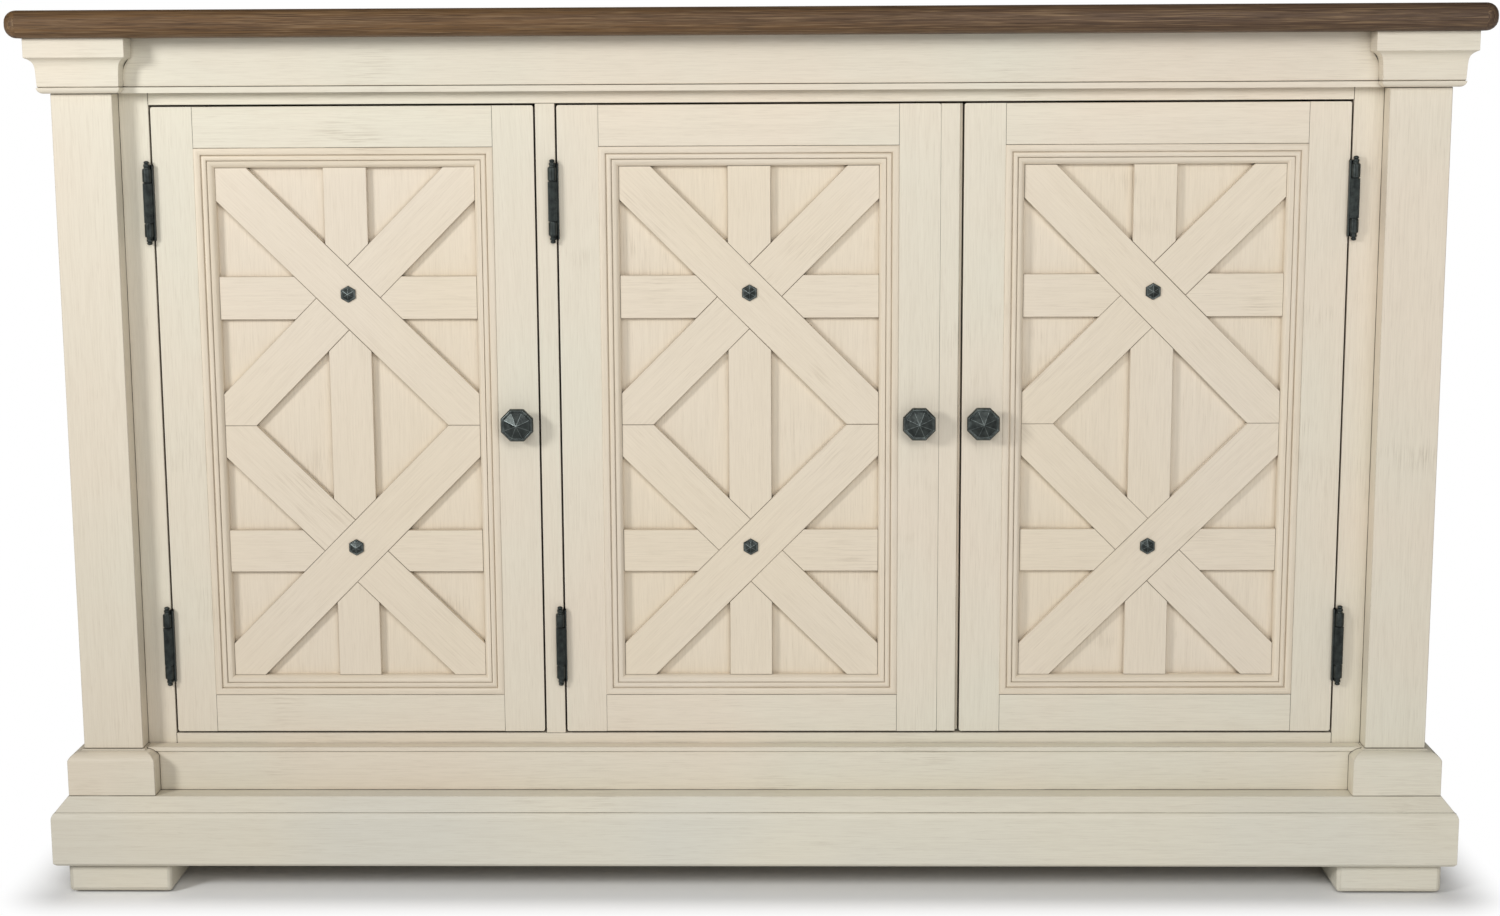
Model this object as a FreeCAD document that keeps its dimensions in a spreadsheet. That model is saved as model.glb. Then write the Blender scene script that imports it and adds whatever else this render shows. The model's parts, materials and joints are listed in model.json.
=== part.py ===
import FreeCAD, Part
import os
import Sketcher
from FreeCAD import Placement, Rotation, Vector

# Sideboard with three inset doors.  X is the width, -Y is the front, Z is up.
# The origin is on the floor, under the middle of the top.  All sizes are millimetres.

DRIVING = {
    # top
    "top_width": 1515, "top_depth": 489, "top_thick": 28, "total_height": 941,
    "top_round": 12, "top_corner": 14, "back_overhang": 11,
    # corner posts and the blocks that wrap them
    "face_setback": 59, "post_reach": 721.5, "post_width": 64, "post_depth": 60,
    "post_proud": 22.5, "rear_post_depth": 50,
    "foot_height": 34.5, "base_height": 74, "plinth_height": 48.5, "capital_height": 56,
    "capital_reach": 20, "band_height": 19.5, "cove_reach": 17, "cove_round": 26,
    "neck_reach": 10.5, "neck_height": 7, "bead_reach": 11, "bead_height": 6, "bead_round": 6,
    "bead_foot": 5, "fillet_step": 1, "fillet_height": 1.5,
    "plinth_reach": 15, "plinth_shoulder": 10, "shoulder_round": 14, "plinth_neck": 3,
    "base_reach": 31, "base_ease": 3, "base_slope_reach": 26.5, "base_slope_height": 14,
    "base_nose_height": 9, "base_round": 10, "base_depth": 60,
    "foot_reach": 18.5, "foot_width": 112, "foot_inset": 1, "glide_radius": 11, "glide_height": 2,
    # boards between the posts
    "board_setback": 7.5, "board_nose": 2, "apron_nose": 5,
    "side_recess": 23, "side_thick": 16,
    # face frame
    "frame_thick": 20, "opening_reach": 626.5, "opening_low": 168, "opening_high": 844.5,
    "mullion_width": 20.5,
    # doors
    "door_gap": 2, "door_width": 400, "stile_width": 43, "rail_low": 41, "rail_high": 43,
    "moulding_width": 20.5, "moulding_proud": 1.5, "panel_depth": 13, "panel_thick": 5,
    "strap_thick": 7, "strap_width": 45.5, "diagonal_width": 48, "diagonal_length": 460,
    "astragal_width": 20, "lip_width": 3, "lip_setback": 6, "stud_rise": 4,
    # knobs and studs
    "knob_height": 338.5, "knob_radius": 18, "knob_inner": 14, "knob_reach": 27,
    "knob_neck": 5.5, "knob_collar": 8.5, "screw_radius": 2, "screw_bore": 2.1,
    "knob_tip": 1, "knob_bevel": 2, "knob_step": 6, "knob_front": 8, "knob_back": 12,
    "knob_skirt": 16, "collar_height": 3, "screw_head": 2, "screw_grip": 10,
    "stud_radius": 8.5, "stud_height": 5, "stud_shank": 1.6, "stud_bore": 1.7,
    # hinges
    "barrel_radius": 4.75, "barrel_tip": 3.6, "barrel_shift": 3.2, "barrel_proud": 5,
    "hinge_from_top": 99.5, "hinge_from_bottom": 96, "knuckle_long": 41.4, "knuckle_short": 18.5,
    "knuckle_gap": 0.3, "leaf_thick": 1.5, "leaf_inset": 1.2, "leaf_depth": 18,
    "pin_radius": 2.4, "pin_bore": 2.45, "finial_radius": 3.3, "finial_height": 4.5,
    "finial_taper": 1.2, "web_short": 2, "overlap": 1,
    # inside
    "floor_thick": 18, "partition_thick": 18, "back_thick": 6, "back_recess": 12,
    "rear_rail_thick": 20, "rear_rail_height": 50,
    "shelf_thick": 18, "shelf_low": 500, "shelf_gap": 3, "shelf_clear": 1,
    "shelf_pin_radius": 2.5, "shelf_pin_bore": 2.6, "shelf_pin_length": 24,
    "shelf_pin_inset": 40, "shelf_pin_grip": 5, "shelf_bore_depth": 6,
    "cleat_width": 40, "cleat_thick": 20, "cleat_place": 400,
    "catch_length": 40, "catch_drop": 18, "catch_depth": 16, "catch_flange": 16,
    "catch_inset": 45, "catch_gap": 0.3, "strike_thick": 1, "strike_drop": 1,
}


class Size:
    """A length that carries its number and the sheet expression that gives it."""

    def __init__(self, number, text):
        self.number = float(number)
        self.text = text

    def __add__(self, other):
        other = sized(other)
        return Size(self.number + other.number, f"({self.text} + {other.text})")

    def __sub__(self, other):
        other = sized(other)
        return Size(self.number - other.number, f"({self.text} - {other.text})")

    def __mul__(self, other):
        other = sized(other)
        return Size(self.number * other.number, f"({self.text} * {other.text})")

    def __truediv__(self, other):
        other = sized(other)
        return Size(self.number / other.number, f"({self.text} / {other.text})")

    def __neg__(self):
        return Size(-self.number, f"(-1 * {self.text})")

    __radd__ = __add__
    __rmul__ = __mul__


def sized(value):
    if isinstance(value, Size):
        return value
    return Size(value, f"({value:g})")


doc = FreeCAD.newDocument("Sideboard")
sheet = doc.addObject("Spreadsheet::Sheet", "Sizes")
for row, (name, number) in enumerate(DRIVING.items(), start=1):
    sheet.set(f"A{row}", name)
    sheet.set(f"B{row}", f"{number:g}")
    sheet.setAlias(f"B{row}", name)
doc.recompute()


class Dims:
    """Each driving dimension as an attribute."""


d = Dims()
for name, number in DRIVING.items():
    setattr(d, name, Size(number, f"Sizes.{name}"))

NODES = []


def node(thing, label):
    thing.Label = label
    NODES.append(thing)
    return thing


def bind(thing, field, value):
    thing.setExpression(field, sized(value).text)


def place(thing, x, y, z):
    bind(thing, ".Placement.Base.x", x)
    bind(thing, ".Placement.Base.y", y)
    bind(thing, ".Placement.Base.z", z)


def block(x, y, z):
    """A board between two limits along each axis."""
    box = doc.addObject("Part::Box", "Board")
    for field, (low, high) in (("Length", x), ("Width", y), ("Height", z)):
        bind(box, field, sized(high) - low)
    place(box, x[0], y[0], z[0])
    return box


def rod(x, y, z, radius, length, turn=None):
    """A round bar that starts at a point and runs along Z, or along the turned axis."""
    bar = doc.addObject("Part::Cylinder", "Rod")
    bind(bar, "Radius", radius)
    bind(bar, "Height", length)
    if turn:
        bar.Placement = Placement(Vector(), turn)
    place(bar, x, y, z)
    return bar


def taper(x, y, z, low_radius, high_radius, length, turn=None):
    cone = doc.addObject("Part::Cone", "Taper")
    bind(cone, "Radius1", low_radius)
    bind(cone, "Radius2", high_radius)
    bind(cone, "Height", length)
    if turn:
        cone.Placement = Placement(Vector(), turn)
    place(cone, x, y, z)
    return cone


def fuse(*pieces):
    joined = doc.addObject("Part::MultiFuse", "Fused")
    joined.Shapes = list(pieces)
    joined.Refine = True
    return joined


def group(*pieces):
    together = doc.addObject("Part::Compound", "Group")
    together.Links = list(pieces)
    return together


def cut(base, *tools):
    result = doc.addObject("Part::Cut", "Cut")
    result.Base = base
    result.Tool = tools[0] if len(tools) == 1 else group(*tools)
    return result


def common(first, second):
    result = doc.addObject("Part::Common", "Common")
    result.Base = first
    result.Tool = second
    return result


def wedge(x, y, x_far, z, turn=None):
    """A prism whose X limits change from x at y[0] to x_far at y[1]."""
    prism = doc.addObject("Part::Wedge", "Mitred")
    limits = {"Xmin": x[0], "Xmax": x[1], "X2min": x_far[0], "X2max": x_far[1]}
    limits.update({"Ymin": y[0], "Ymax": y[1], "Zmin": z[0], "Zmax": z[1]})
    limits.update({"Z2min": z[0], "Z2max": z[1]})
    for field, value in limits.items():
        prism.setExpression(field, sized(value).text)
    if turn:
        prism.Placement = Placement(Vector(), turn)
    return prism


def mirror_span(low, high, side):
    """The same span on the right (side 1) or the left (side -1)."""
    return (sized(low), sized(high)) if side > 0 else (-sized(high), -sized(low))


def offset_span(line, side, near, far):
    """A span measured from a line, towards +X (side 1) or -X (side -1)."""
    if side > 0:
        return (line + near, line + far)
    return (line - far, line - near)


# ---------------------------------------------------------------- sketches


def arc_between(start, finish, radius, side):
    """An arc of a given radius; side 1 bulges to the right of travel, -1 to the left."""
    chord = finish - start
    half = chord.Length / 2
    along = Vector(chord.x, chord.y, 0).normalize()
    right = Vector(along.y, -along.x, 0)
    depth = radius - (radius ** 2 - half ** 2) ** 0.5
    middle = (start + finish) * 0.5 + right * (depth * side)
    if side > 0:
        return Part.ArcOfCircle(start, middle, finish)
    return Part.ArcOfCircle(finish, middle, start)


def draw_outline(sketch, corners):
    """Draw a closed outline.  A corner is (u, v), or (u, v, radius, side) to leave by an arc."""
    spots = [Vector(sized(c[0]).number, sized(c[1]).number, 0) for c in corners]
    total = len(corners)
    ends = []
    for index, corner in enumerate(corners):
        start, finish = spots[index], spots[(index + 1) % total]
        if len(corner) == 2:
            sketch.addGeometry(Part.LineSegment(start, finish), False)
            ends.append((1, 2))
            continue
        arc = arc_between(start, finish, sized(corner[2]).number, corner[3])
        sketch.addGeometry(arc, False)
        forward = arc.StartPoint.distanceToPoint(start) < arc.EndPoint.distanceToPoint(start)
        ends.append((1, 2) if forward else (2, 1))
    for index in range(total):
        following = (index + 1) % total
        sketch.addConstraint(Sketcher.Constraint(
            "Coincident", index, ends[index][1], following, ends[following][0]))
    for index, corner in enumerate(corners):
        for kind, value in (("DistanceX", corner[0]), ("DistanceY", corner[1])):
            number = sketch.addConstraint(Sketcher.Constraint(
                kind, -1, 1, index, ends[index][0], sized(value).number))
            bind(sketch, f"Constraints[{number}]", value)
        if len(corner) == 4:
            number = sketch.addConstraint(Sketcher.Constraint(
                "Radius", index, sized(corner[2]).number))
            bind(sketch, f"Constraints[{number}]", corner[2])


def start_sketch(body, role, shift):
    """A sketch on one of the body's own planes, moved along the plane's normal."""
    plane = [f for f in body.Origin.OriginFeatures if f.Role == role][0]
    sketch = body.newObject("Sketcher::SketchObject", "Outline")
    sketch.AttachmentSupport = [(plane, "")]
    sketch.MapMode = "FlatFace"
    bind(sketch, ".AttachmentOffset.Base.z", shift)
    return sketch


def padded(role, corners, low, high):
    """A body made by padding an outline between two limits along X, Y or Z."""
    body = doc.addObject("PartDesign::Body", "Body")
    shift = -sized(high) if role == "XZ_Plane" else low
    sketch = start_sketch(body, role, shift)
    draw_outline(sketch, corners)
    pad = body.newObject("PartDesign::Pad", "Pad")
    pad.Profile = sketch
    bind(pad, "Length", sized(high) - low)
    return body


CONVEX = 1
COVE = -1
TOUCH = 0.1


def moulded_outline(low, high, steps, low_plain=False, high_plain=False):
    """A profile on both sides of a span, from bottom to top; a plain side stays straight."""
    corners = []
    for reach, height, *arc in steps:
        corners.append((high, height) if high_plain else (high + reach, height, *arc))
    left = []
    for index in range(len(steps) - 1, -1, -1):
        reach, height = steps[index][:2]
        arc = steps[index - 1][2:] if index else ()
        left.append((low, height) if low_plain else (low - reach, height, *arc))
    corners += left
    if high_plain:
        corners = [corners[0]] + corners[len(steps) - 1:]
    if low_plain:
        corners = corners[:-(len(steps) - 1)] + [corners[-1]]
    return corners


def moulded_block(x, y, steps, plain_back=False):
    """A rectangular block with the same profile on its sides, mitred at its corners."""
    reach = max(sized(step[0]).number for step in steps)
    across = moulded_outline(x[0], x[1], steps)
    along = moulded_outline(y[0], y[1], steps, high_plain=plain_back)
    end = sized(0) if plain_back else sized(reach)
    sides = padded("XZ_Plane", across, y[0] - reach, y[1] + end)
    front = padded("YZ_Plane", along, x[0] - reach, x[1] + reach)
    return common(sides, front)


# ---------------------------------------------------------------- main planes

top_low = d.total_height - d.top_thick
front_y = -(d.top_depth / 2)
face_y = front_y + d.face_setback
frame_back = face_y + d.frame_thick
back_y = d.top_depth / 2 - d.back_overhang
post_front = face_y - d.post_proud
post_back = post_front + d.post_depth
rear_post_front = back_y - d.rear_post_depth
post_inner = d.post_reach - d.post_width
base_top = d.foot_height + d.base_height
plinth_top = base_top + d.plinth_height
capital_low = top_low - d.capital_height
board_front = post_front + d.board_setback
side_outer = d.post_reach - d.board_setback
panel_outer = d.post_reach - d.side_recess
panel_inner = panel_outer - d.side_thick
back_panel_front = back_y - d.back_thick - d.back_recess
rear_rail_front = back_panel_front - d.rear_rail_thick
door_low = d.opening_low + d.door_gap
door_high = d.opening_high - d.door_gap
left_start = -d.opening_reach + d.door_gap
mullion_left = left_start + d.door_width + d.door_gap
mullion_right = mullion_left + d.mullion_width
middle_start = mullion_right + d.door_gap
right_finish = d.opening_reach - d.door_gap
mullion_middle = (mullion_left + mullion_right) / 2
wall = (mullion_middle - d.partition_thick / 2, mullion_middle + d.partition_thick / 2)
cupboards = ((-panel_inner, wall[0]), (wall[1], panel_inner))
shelf_depth = (post_back + d.shelf_gap, rear_post_front - d.shelf_gap)
SIDES = (("left", -1), ("right", 1))


# ---------------------------------------------------------------- top


def make_top():
    body = padded("XY_Plane", [
        (-(d.top_width / 2), front_y), (d.top_width / 2, front_y),
        (d.top_width / 2, d.top_depth / 2), (-(d.top_width / 2), d.top_depth / 2),
    ], top_low, d.total_height)
    doc.recompute()
    pad = body.Tip
    upright = []
    for number, edge in enumerate(pad.Shape.Edges, start=1):
        middle = edge.CenterOfMass
        at_front = abs(middle.y - front_y.number) < TOUCH
        if at_front and abs(edge.BoundBox.ZLength - d.top_thick.number) < TOUCH:
            upright.append(f"Edge{number}")
    corners = body.newObject("PartDesign::Fillet", "Corners")
    corners.Base = (pad, upright)
    bind(corners, "Radius", d.top_corner)
    doc.recompute()
    rims = []
    for number, edge in enumerate(corners.Shape.Edges, start=1):
        box = edge.BoundBox
        flat = box.ZLength < TOUCH
        at_back = box.YMin > d.top_depth.number / 2 - TOUCH
        if flat and not at_back:
            rims.append(f"Edge{number}")
    nose = body.newObject("PartDesign::Fillet", "Nose")
    nose.Base = (corners, rims)
    bind(nose, "Radius", d.top_round)
    node(body, "top_slab")
    cleats = []
    for side in (-1, 1):
        x = mirror_span(d.cleat_place, d.cleat_place + d.cleat_width, side)
        cleats.append(block(x, (frame_back, rear_rail_front), (top_low - d.cleat_thick, top_low)))
    node(group(*cleats), "top_cleats")


# ---------------------------------------------------------------- posts, capitals, plinths, base

CAPITAL_STEPS = [
    (d.bead_foot, capital_low, d.bead_round, CONVEX),
    (d.bead_reach, capital_low + d.bead_height),
    (d.neck_reach, capital_low + d.bead_height),
    (d.neck_reach, capital_low + d.bead_height + d.neck_height, d.cove_round, COVE),
    (d.cove_reach, top_low - d.band_height - d.fillet_height),
    (d.capital_reach, top_low - d.band_height),
    (d.capital_reach, top_low),
]
PLINTH_STEPS = [
    (d.plinth_reach, base_top),
    (d.plinth_reach, plinth_top - d.plinth_shoulder, d.shoulder_round, CONVEX),
    (d.plinth_neck, plinth_top - d.fillet_height),
    (d.plinth_neck - d.fillet_step, plinth_top),
]
BASE_STEPS = [
    (d.base_reach - d.base_ease, d.foot_height),
    (d.base_reach, d.foot_height + d.base_ease),
    (d.base_reach, base_top - d.base_slope_height - d.base_nose_height, d.base_round, CONVEX),
    (d.base_slope_reach, base_top - d.base_slope_height),
    (d.base_slope_reach - d.fillet_step / 2, base_top - d.base_slope_height + d.fillet_step),
    (d.plinth_reach + d.fillet_step, base_top - d.fillet_step / 2),
    (d.plinth_reach, base_top),
]


def inner_envelope():
    """The room inside the posts and panels, which the wrapping blocks stay out of."""
    height = (d.foot_height, d.total_height)
    middle = block((-post_inner, post_inner), (face_y, d.top_depth), height)
    wide = block((-panel_inner, panel_inner), (post_back, rear_post_front), height)
    return fuse(middle, wide)


def make_corners():
    envelope = inner_envelope()
    made = {}
    rear = {"posts": [], "capitals": [], "plinths": []}
    for name, side in SIDES:
        x = mirror_span(post_inner, d.post_reach, side)
        y = (post_front, post_back)
        node(block(x, y, (plinth_top, capital_low)), f"post_{name}")
        made[f"capital_{name}"] = node(
            cut(moulded_block(x, y, CAPITAL_STEPS), envelope), f"capital_{name}")
        made[f"plinth_{name}"] = node(
            cut(moulded_block(x, y, PLINTH_STEPS), envelope), f"plinth_{name}")
        y = (rear_post_front, back_y)
        rear["posts"].append(block(x, y, (plinth_top, capital_low)))
        rear["capitals"].append(cut(moulded_block(x, y, CAPITAL_STEPS, True), envelope))
        rear["plinths"].append(cut(moulded_block(x, y, PLINTH_STEPS, True), envelope))
    for kind, pieces in rear.items():
        made[f"rear_{kind}"] = node(group(*pieces), f"rear_{kind}")
    return made


def make_base():
    span = (-d.post_reach, d.post_reach)
    ring = moulded_block(span, (post_front, back_y), BASE_STEPS, True)
    reach = d.post_reach + d.base_reach
    front = post_front - d.base_reach
    height = (d.foot_height, base_top)
    inner = reach - d.base_depth
    mitre = wedge((-reach, reach), (front, front + d.base_depth), (-inner, inner), height)
    node(common(ring, mitre), "base_front")
    hollow = block((-inner, inner), (front, d.top_depth), height)
    node(cut(ring, mitre, hollow), "base_sides")
    feet, glides = [], []
    for side in (-1, 1):
        x = mirror_span(d.post_reach + d.foot_reach - d.foot_width, d.post_reach + d.foot_reach, side)
        front_span = (post_front - d.foot_reach, post_front - d.foot_reach + d.foot_width)
        for y in (front_span, (back_y - d.foot_inset - d.foot_width, back_y - d.foot_inset)):
            feet.append(block(x, y, (d.glide_height, d.foot_height)))
            centre = ((x[0] + x[1]) / 2, (y[0] + y[1]) / 2)
            glides.append(rod(*centre, sized(0), d.glide_radius, d.glide_height))
    node(group(*feet), "feet")
    node(group(*glides), "foot_glides")


# ---------------------------------------------------------------- frieze, apron and sides


def nosed_board(base, thickness, low, high, nose_low, nose_high):
    """Outline of a board that stands up, with a small nose between two heights."""
    return [
        (base, low), (base, high), (base - thickness, high), (base - thickness, nose_high),
        (base - thickness - d.board_nose, nose_high), (base - thickness - d.board_nose, nose_low),
        (base - thickness, nose_low), (base - thickness, low),
    ]


def clean_outline(corners):
    """Drop a corner that repeats the one before it."""
    kept = []
    for corner in corners:
        spot = (sized(corner[0]).number, sized(corner[1]).number)
        if kept and spot == (sized(kept[-1][0]).number, sized(kept[-1][1]).number):
            continue
        if kept and spot == (sized(kept[0][0]).number, sized(kept[0][1]).number):
            continue
        kept.append(corner)
    return kept


def shelf_rods(radius, grip):
    """Rods for the shelf pins, let into the boards at both ends of each cupboard."""
    along_x = Rotation(Vector(0, 1, 0), 90)
    reach = d.shelf_pin_length - d.shelf_pin_grip
    rods = []
    for low, high in cupboards:
        for start in (low - grip, high - reach):
            for y in (shelf_depth[0] + d.shelf_pin_inset, shelf_depth[1] - d.shelf_pin_inset):
                rods.append(rod(start, y, d.shelf_low - d.shelf_pin_radius,
                                radius, reach + grip, along_x))
    return rods


def make_boards(corner):
    thick = face_y - board_front
    frieze = clean_outline(nosed_board(
        face_y, thick, capital_low, top_low, capital_low, capital_low + d.bead_height))
    apron = clean_outline(nosed_board(
        face_y, thick, base_top, plinth_top, plinth_top - d.apron_nose, plinth_top))
    span = (-post_inner, post_inner)
    node(cut(padded("YZ_Plane", frieze, *span), corner["capital_left"], corner["capital_right"]),
         "frieze_front")
    node(cut(padded("YZ_Plane", apron, *span), corner["plinth_left"], corner["plinth_right"]),
         "apron_front")
    depth = (post_back, rear_post_front)
    friezes, aprons, panels = [], [], []
    for name, side in SIDES:
        high = [(low * -side, height) for low, height in clean_outline(nosed_board(
            -panel_inner, side_outer - panel_inner, capital_low, top_low,
            capital_low, capital_low + d.bead_height))]
        low = [(reach * -side, height) for reach, height in clean_outline(nosed_board(
            -panel_inner, side_outer - panel_inner, base_top, plinth_top,
            plinth_top - d.apron_nose, plinth_top))]
        friezes.append(cut(padded("XZ_Plane", high, *depth),
                           corner[f"capital_{name}"], corner["rear_capitals"]))
        aprons.append(cut(padded("XZ_Plane", low, *depth),
                          corner[f"plinth_{name}"], corner["rear_plinths"]))
        x = mirror_span(panel_inner, panel_outer, side)
        panel = block(x, depth, (plinth_top, capital_low))
        panels.append(cut(panel, *shelf_rods(d.shelf_pin_bore, d.shelf_bore_depth)))
    node(group(*friezes), "side_friezes")
    node(group(*aprons), "side_aprons")
    node(group(*panels), "side_panels")


# ---------------------------------------------------------------- doors: where each one stands

hinge_heights = (door_high - d.hinge_from_top, door_low + d.hinge_from_bottom)
leaf_half = d.knuckle_long / 2 + d.knuckle_short

# name, left edge of the leaf, hinge side: 1 when the leaf lies to the right of its hinge,
# and the edge of the frame member that carries the hinge
DOORS = (
    ("left", left_start, 1, -d.opening_reach),
    ("middle", middle_start, 1, mullion_right),
    ("right", right_finish - d.door_width, -1, d.opening_reach),
)


def mortises(edge, side):
    """Shallow pockets for the hinge leaves, cut into the wood on one side of an edge."""
    pockets = []
    for height in hinge_heights:
        x = offset_span(edge, side, sized(0), d.leaf_inset)
        pockets.append(block(x, (face_y, face_y + d.leaf_depth),
                             (height - leaf_half, height + leaf_half)))
    return pockets


# ---------------------------------------------------------------- carcase


def make_face_frame():
    height = (base_top, top_low)
    depth = (face_y, frame_back)
    stiles = []
    for name, side in SIDES:
        x = mirror_span(d.opening_reach, post_inner, side)
        edge = d.opening_reach * side
        stiles.append(cut(block(x, depth, height), *mortises(edge, side)))
    node(group(*stiles), "face_stiles")
    across = (-d.opening_reach, d.opening_reach)
    low_rail = block(across, depth, (base_top, d.opening_low))
    high_rail = block(across, depth, (d.opening_high, top_low))
    node(group(low_rail, high_rail), "face_rails")
    mullion = block((mullion_left, mullion_right), depth, (d.opening_low, d.opening_high))
    node(cut(mullion, *mortises(mullion_right, -1)), "face_mullion")


def make_inside():
    floor_low = d.opening_low - d.floor_thick
    posts = []
    for side in (-1, 1):
        x = mirror_span(post_inner, d.post_reach, side)
        posts.append(block(x, (post_front, post_back), (base_top, top_low)))
        posts.append(block(x, (rear_post_front, back_y), (base_top, top_low)))
    floor = block((-panel_inner, panel_inner), (frame_back, back_panel_front),
                  (floor_low, d.opening_low))
    node(cut(floor, *posts), "cabinet_floor")
    board = block(wall, (frame_back, rear_rail_front), (d.opening_low, top_low))
    node(cut(board, *shelf_rods(d.shelf_pin_bore, d.shelf_bore_depth)), "partition")
    node(block((-post_inner, post_inner), (back_panel_front, back_panel_front + d.back_thick),
               (base_top, top_low)), "back_panel")
    rail_depth = (rear_rail_front, back_panel_front)
    high = block((-post_inner, post_inner), rail_depth, (top_low - d.rear_rail_height, top_low))
    low = block((-post_inner, post_inner), rail_depth, (base_top, floor_low))
    inner = d.post_reach + d.base_reach - d.base_depth
    foot = block((-inner, inner), (back_y - d.rear_rail_thick, back_y), (d.foot_height, base_top))
    node(group(foot, low, high), "rear_rails")
    height = (d.shelf_low, d.shelf_low + d.shelf_thick)
    shelves = []
    for low, high in cupboards:
        span = (low + d.shelf_clear, high - d.shelf_clear)
        shelves.append(block(span, shelf_depth, height))
    node(group(*shelves), "shelves")
    node(group(*shelf_rods(d.shelf_pin_radius, d.shelf_pin_grip)), "shelf_pins")


def make_catches():
    """A magnetic catch hangs behind the free top corner of each door."""
    catches = []
    for _, left, side, _ in DOORS:
        x = catch_span(left, side)
        flange = block(x, (frame_back, frame_back + d.catch_depth),
                       (d.opening_high, d.opening_high + d.catch_flange))
        face = frame_back + d.strike_thick + d.catch_gap
        magnet = block(x, (face, frame_back + d.catch_depth),
                       (d.opening_high - d.catch_drop, d.opening_high))
        catches.append(fuse(flange, magnet))
    node(group(*catches), "magnet_catches")


def catch_span(left, side):
    centre = left + d.door_width / 2 + (d.door_width / 2 - d.catch_inset) * side
    return (centre - d.catch_length / 2, centre + d.catch_length / 2)


# ---------------------------------------------------------------- hinges


def hinge_line(edge, side):
    return edge - d.barrel_shift * side


def make_frame_leaves():
    leaves, pins = [], []
    y = face_y - d.barrel_proud
    for _, _, side, edge in DOORS:
        x = hinge_line(edge, side)
        plate_x = offset_span(edge, side, -d.leaf_inset, d.leaf_thick - d.leaf_inset)
        for height in hinge_heights:
            high = height + d.knuckle_long / 2 + d.knuckle_gap
            low = height - d.knuckle_long / 2 - d.knuckle_gap - d.knuckle_short
            parts = [block(plate_x, (face_y, face_y + d.leaf_depth),
                           (height - leaf_half, height + leaf_half))]
            for start, radii in ((high, (d.barrel_radius, d.barrel_tip)),
                                 (low, (d.barrel_tip, d.barrel_radius))):
                parts.append(taper(x, y, start, *radii, d.knuckle_short))
                parts.append(block(plate_x, (y, face_y), (
                    start + d.web_short, start + d.knuckle_short - d.web_short)))
            bore = rod(x, y, low - d.overlap, d.pin_bore,
                       high + d.knuckle_short - low + d.overlap * 2)
            leaves.append(cut(fuse(*parts), bore))
            pins.append(make_pin(x, y, low, high + d.knuckle_short))
    node(group(*leaves), "hinge_frame_leaves")
    node(group(*pins), "hinge_pins")


def make_pin(x, y, low, high):
    shank = rod(x, y, low, d.pin_radius, high - low)
    tip = d.finial_radius - d.finial_taper
    upper = taper(x, y, high, d.finial_radius, tip, d.finial_height)
    lower = taper(x, y, low - d.finial_height, tip, d.finial_radius, d.finial_height)
    return fuse(lower, shank, upper)


def make_door_leaves(name, side, edge):
    y = face_y - d.barrel_proud
    x = hinge_line(edge, side)
    door_edge = edge + d.door_gap * side
    plate_x = offset_span(door_edge, side, d.leaf_inset - d.leaf_thick, d.leaf_inset)
    leaves = []
    web_y = (y - d.leaf_thick / 2, y + d.leaf_thick / 2)
    web_x = offset_span(x, side, d.barrel_radius - d.overlap,
                        d.barrel_shift + d.door_gap + d.leaf_inset)
    for height in hinge_heights:
        low = height - d.knuckle_long / 2
        web_z = (low + d.web_short, low + d.knuckle_long - d.web_short)
        plate = block(plate_x, (face_y, face_y + d.leaf_depth),
                      (height - leaf_half, height + leaf_half))
        barrel = rod(x, y, low, d.barrel_radius, d.knuckle_long)
        neck = block(plate_x, (web_y[0], face_y), web_z)
        web = block(web_x, web_y, web_z)
        bore = rod(x, y, low - d.overlap, d.pin_bore, d.knuckle_long + d.overlap * 2)
        leaves.append(cut(fuse(plate, barrel, neck, web), bore))
    node(group(*leaves), f"door_{name}_hinge_leaves")


# ---------------------------------------------------------------- doors

TO_FRONT = Rotation(Vector(1, 0, 0), 90)
X_TO_Z = Rotation(Vector(1, 1, 1), 240)
KNOB_SIDES = 8


def make_door_frame(name, left, side):
    right = left + d.door_width
    depth = (face_y, frame_back)
    height = (door_low, door_high)
    knob = knob_place(left, side)
    stiles = []
    for x, hinge_side in (((left, left + d.stile_width), side > 0),
                          ((right - d.stile_width, right), side < 0)):
        board = block(x, depth, height)
        if hinge_side:
            edge = x[0] if side > 0 else x[1]
            tools = mortises(edge, side)
        else:
            tools = [rod(knob[0], frame_back + d.overlap, knob[1], d.screw_bore,
                         d.frame_thick + d.overlap * 2, TO_FRONT)]
        stiles.append(cut(board, *tools))
    node(group(*stiles), f"door_{name}_stiles")
    x = (left + d.stile_width, right - d.stile_width)
    low = block(x, depth, (door_low, door_low + d.rail_low))
    high = block(x, depth, (door_high - d.rail_high, door_high))
    node(group(low, high), f"door_{name}_rails")


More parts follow.
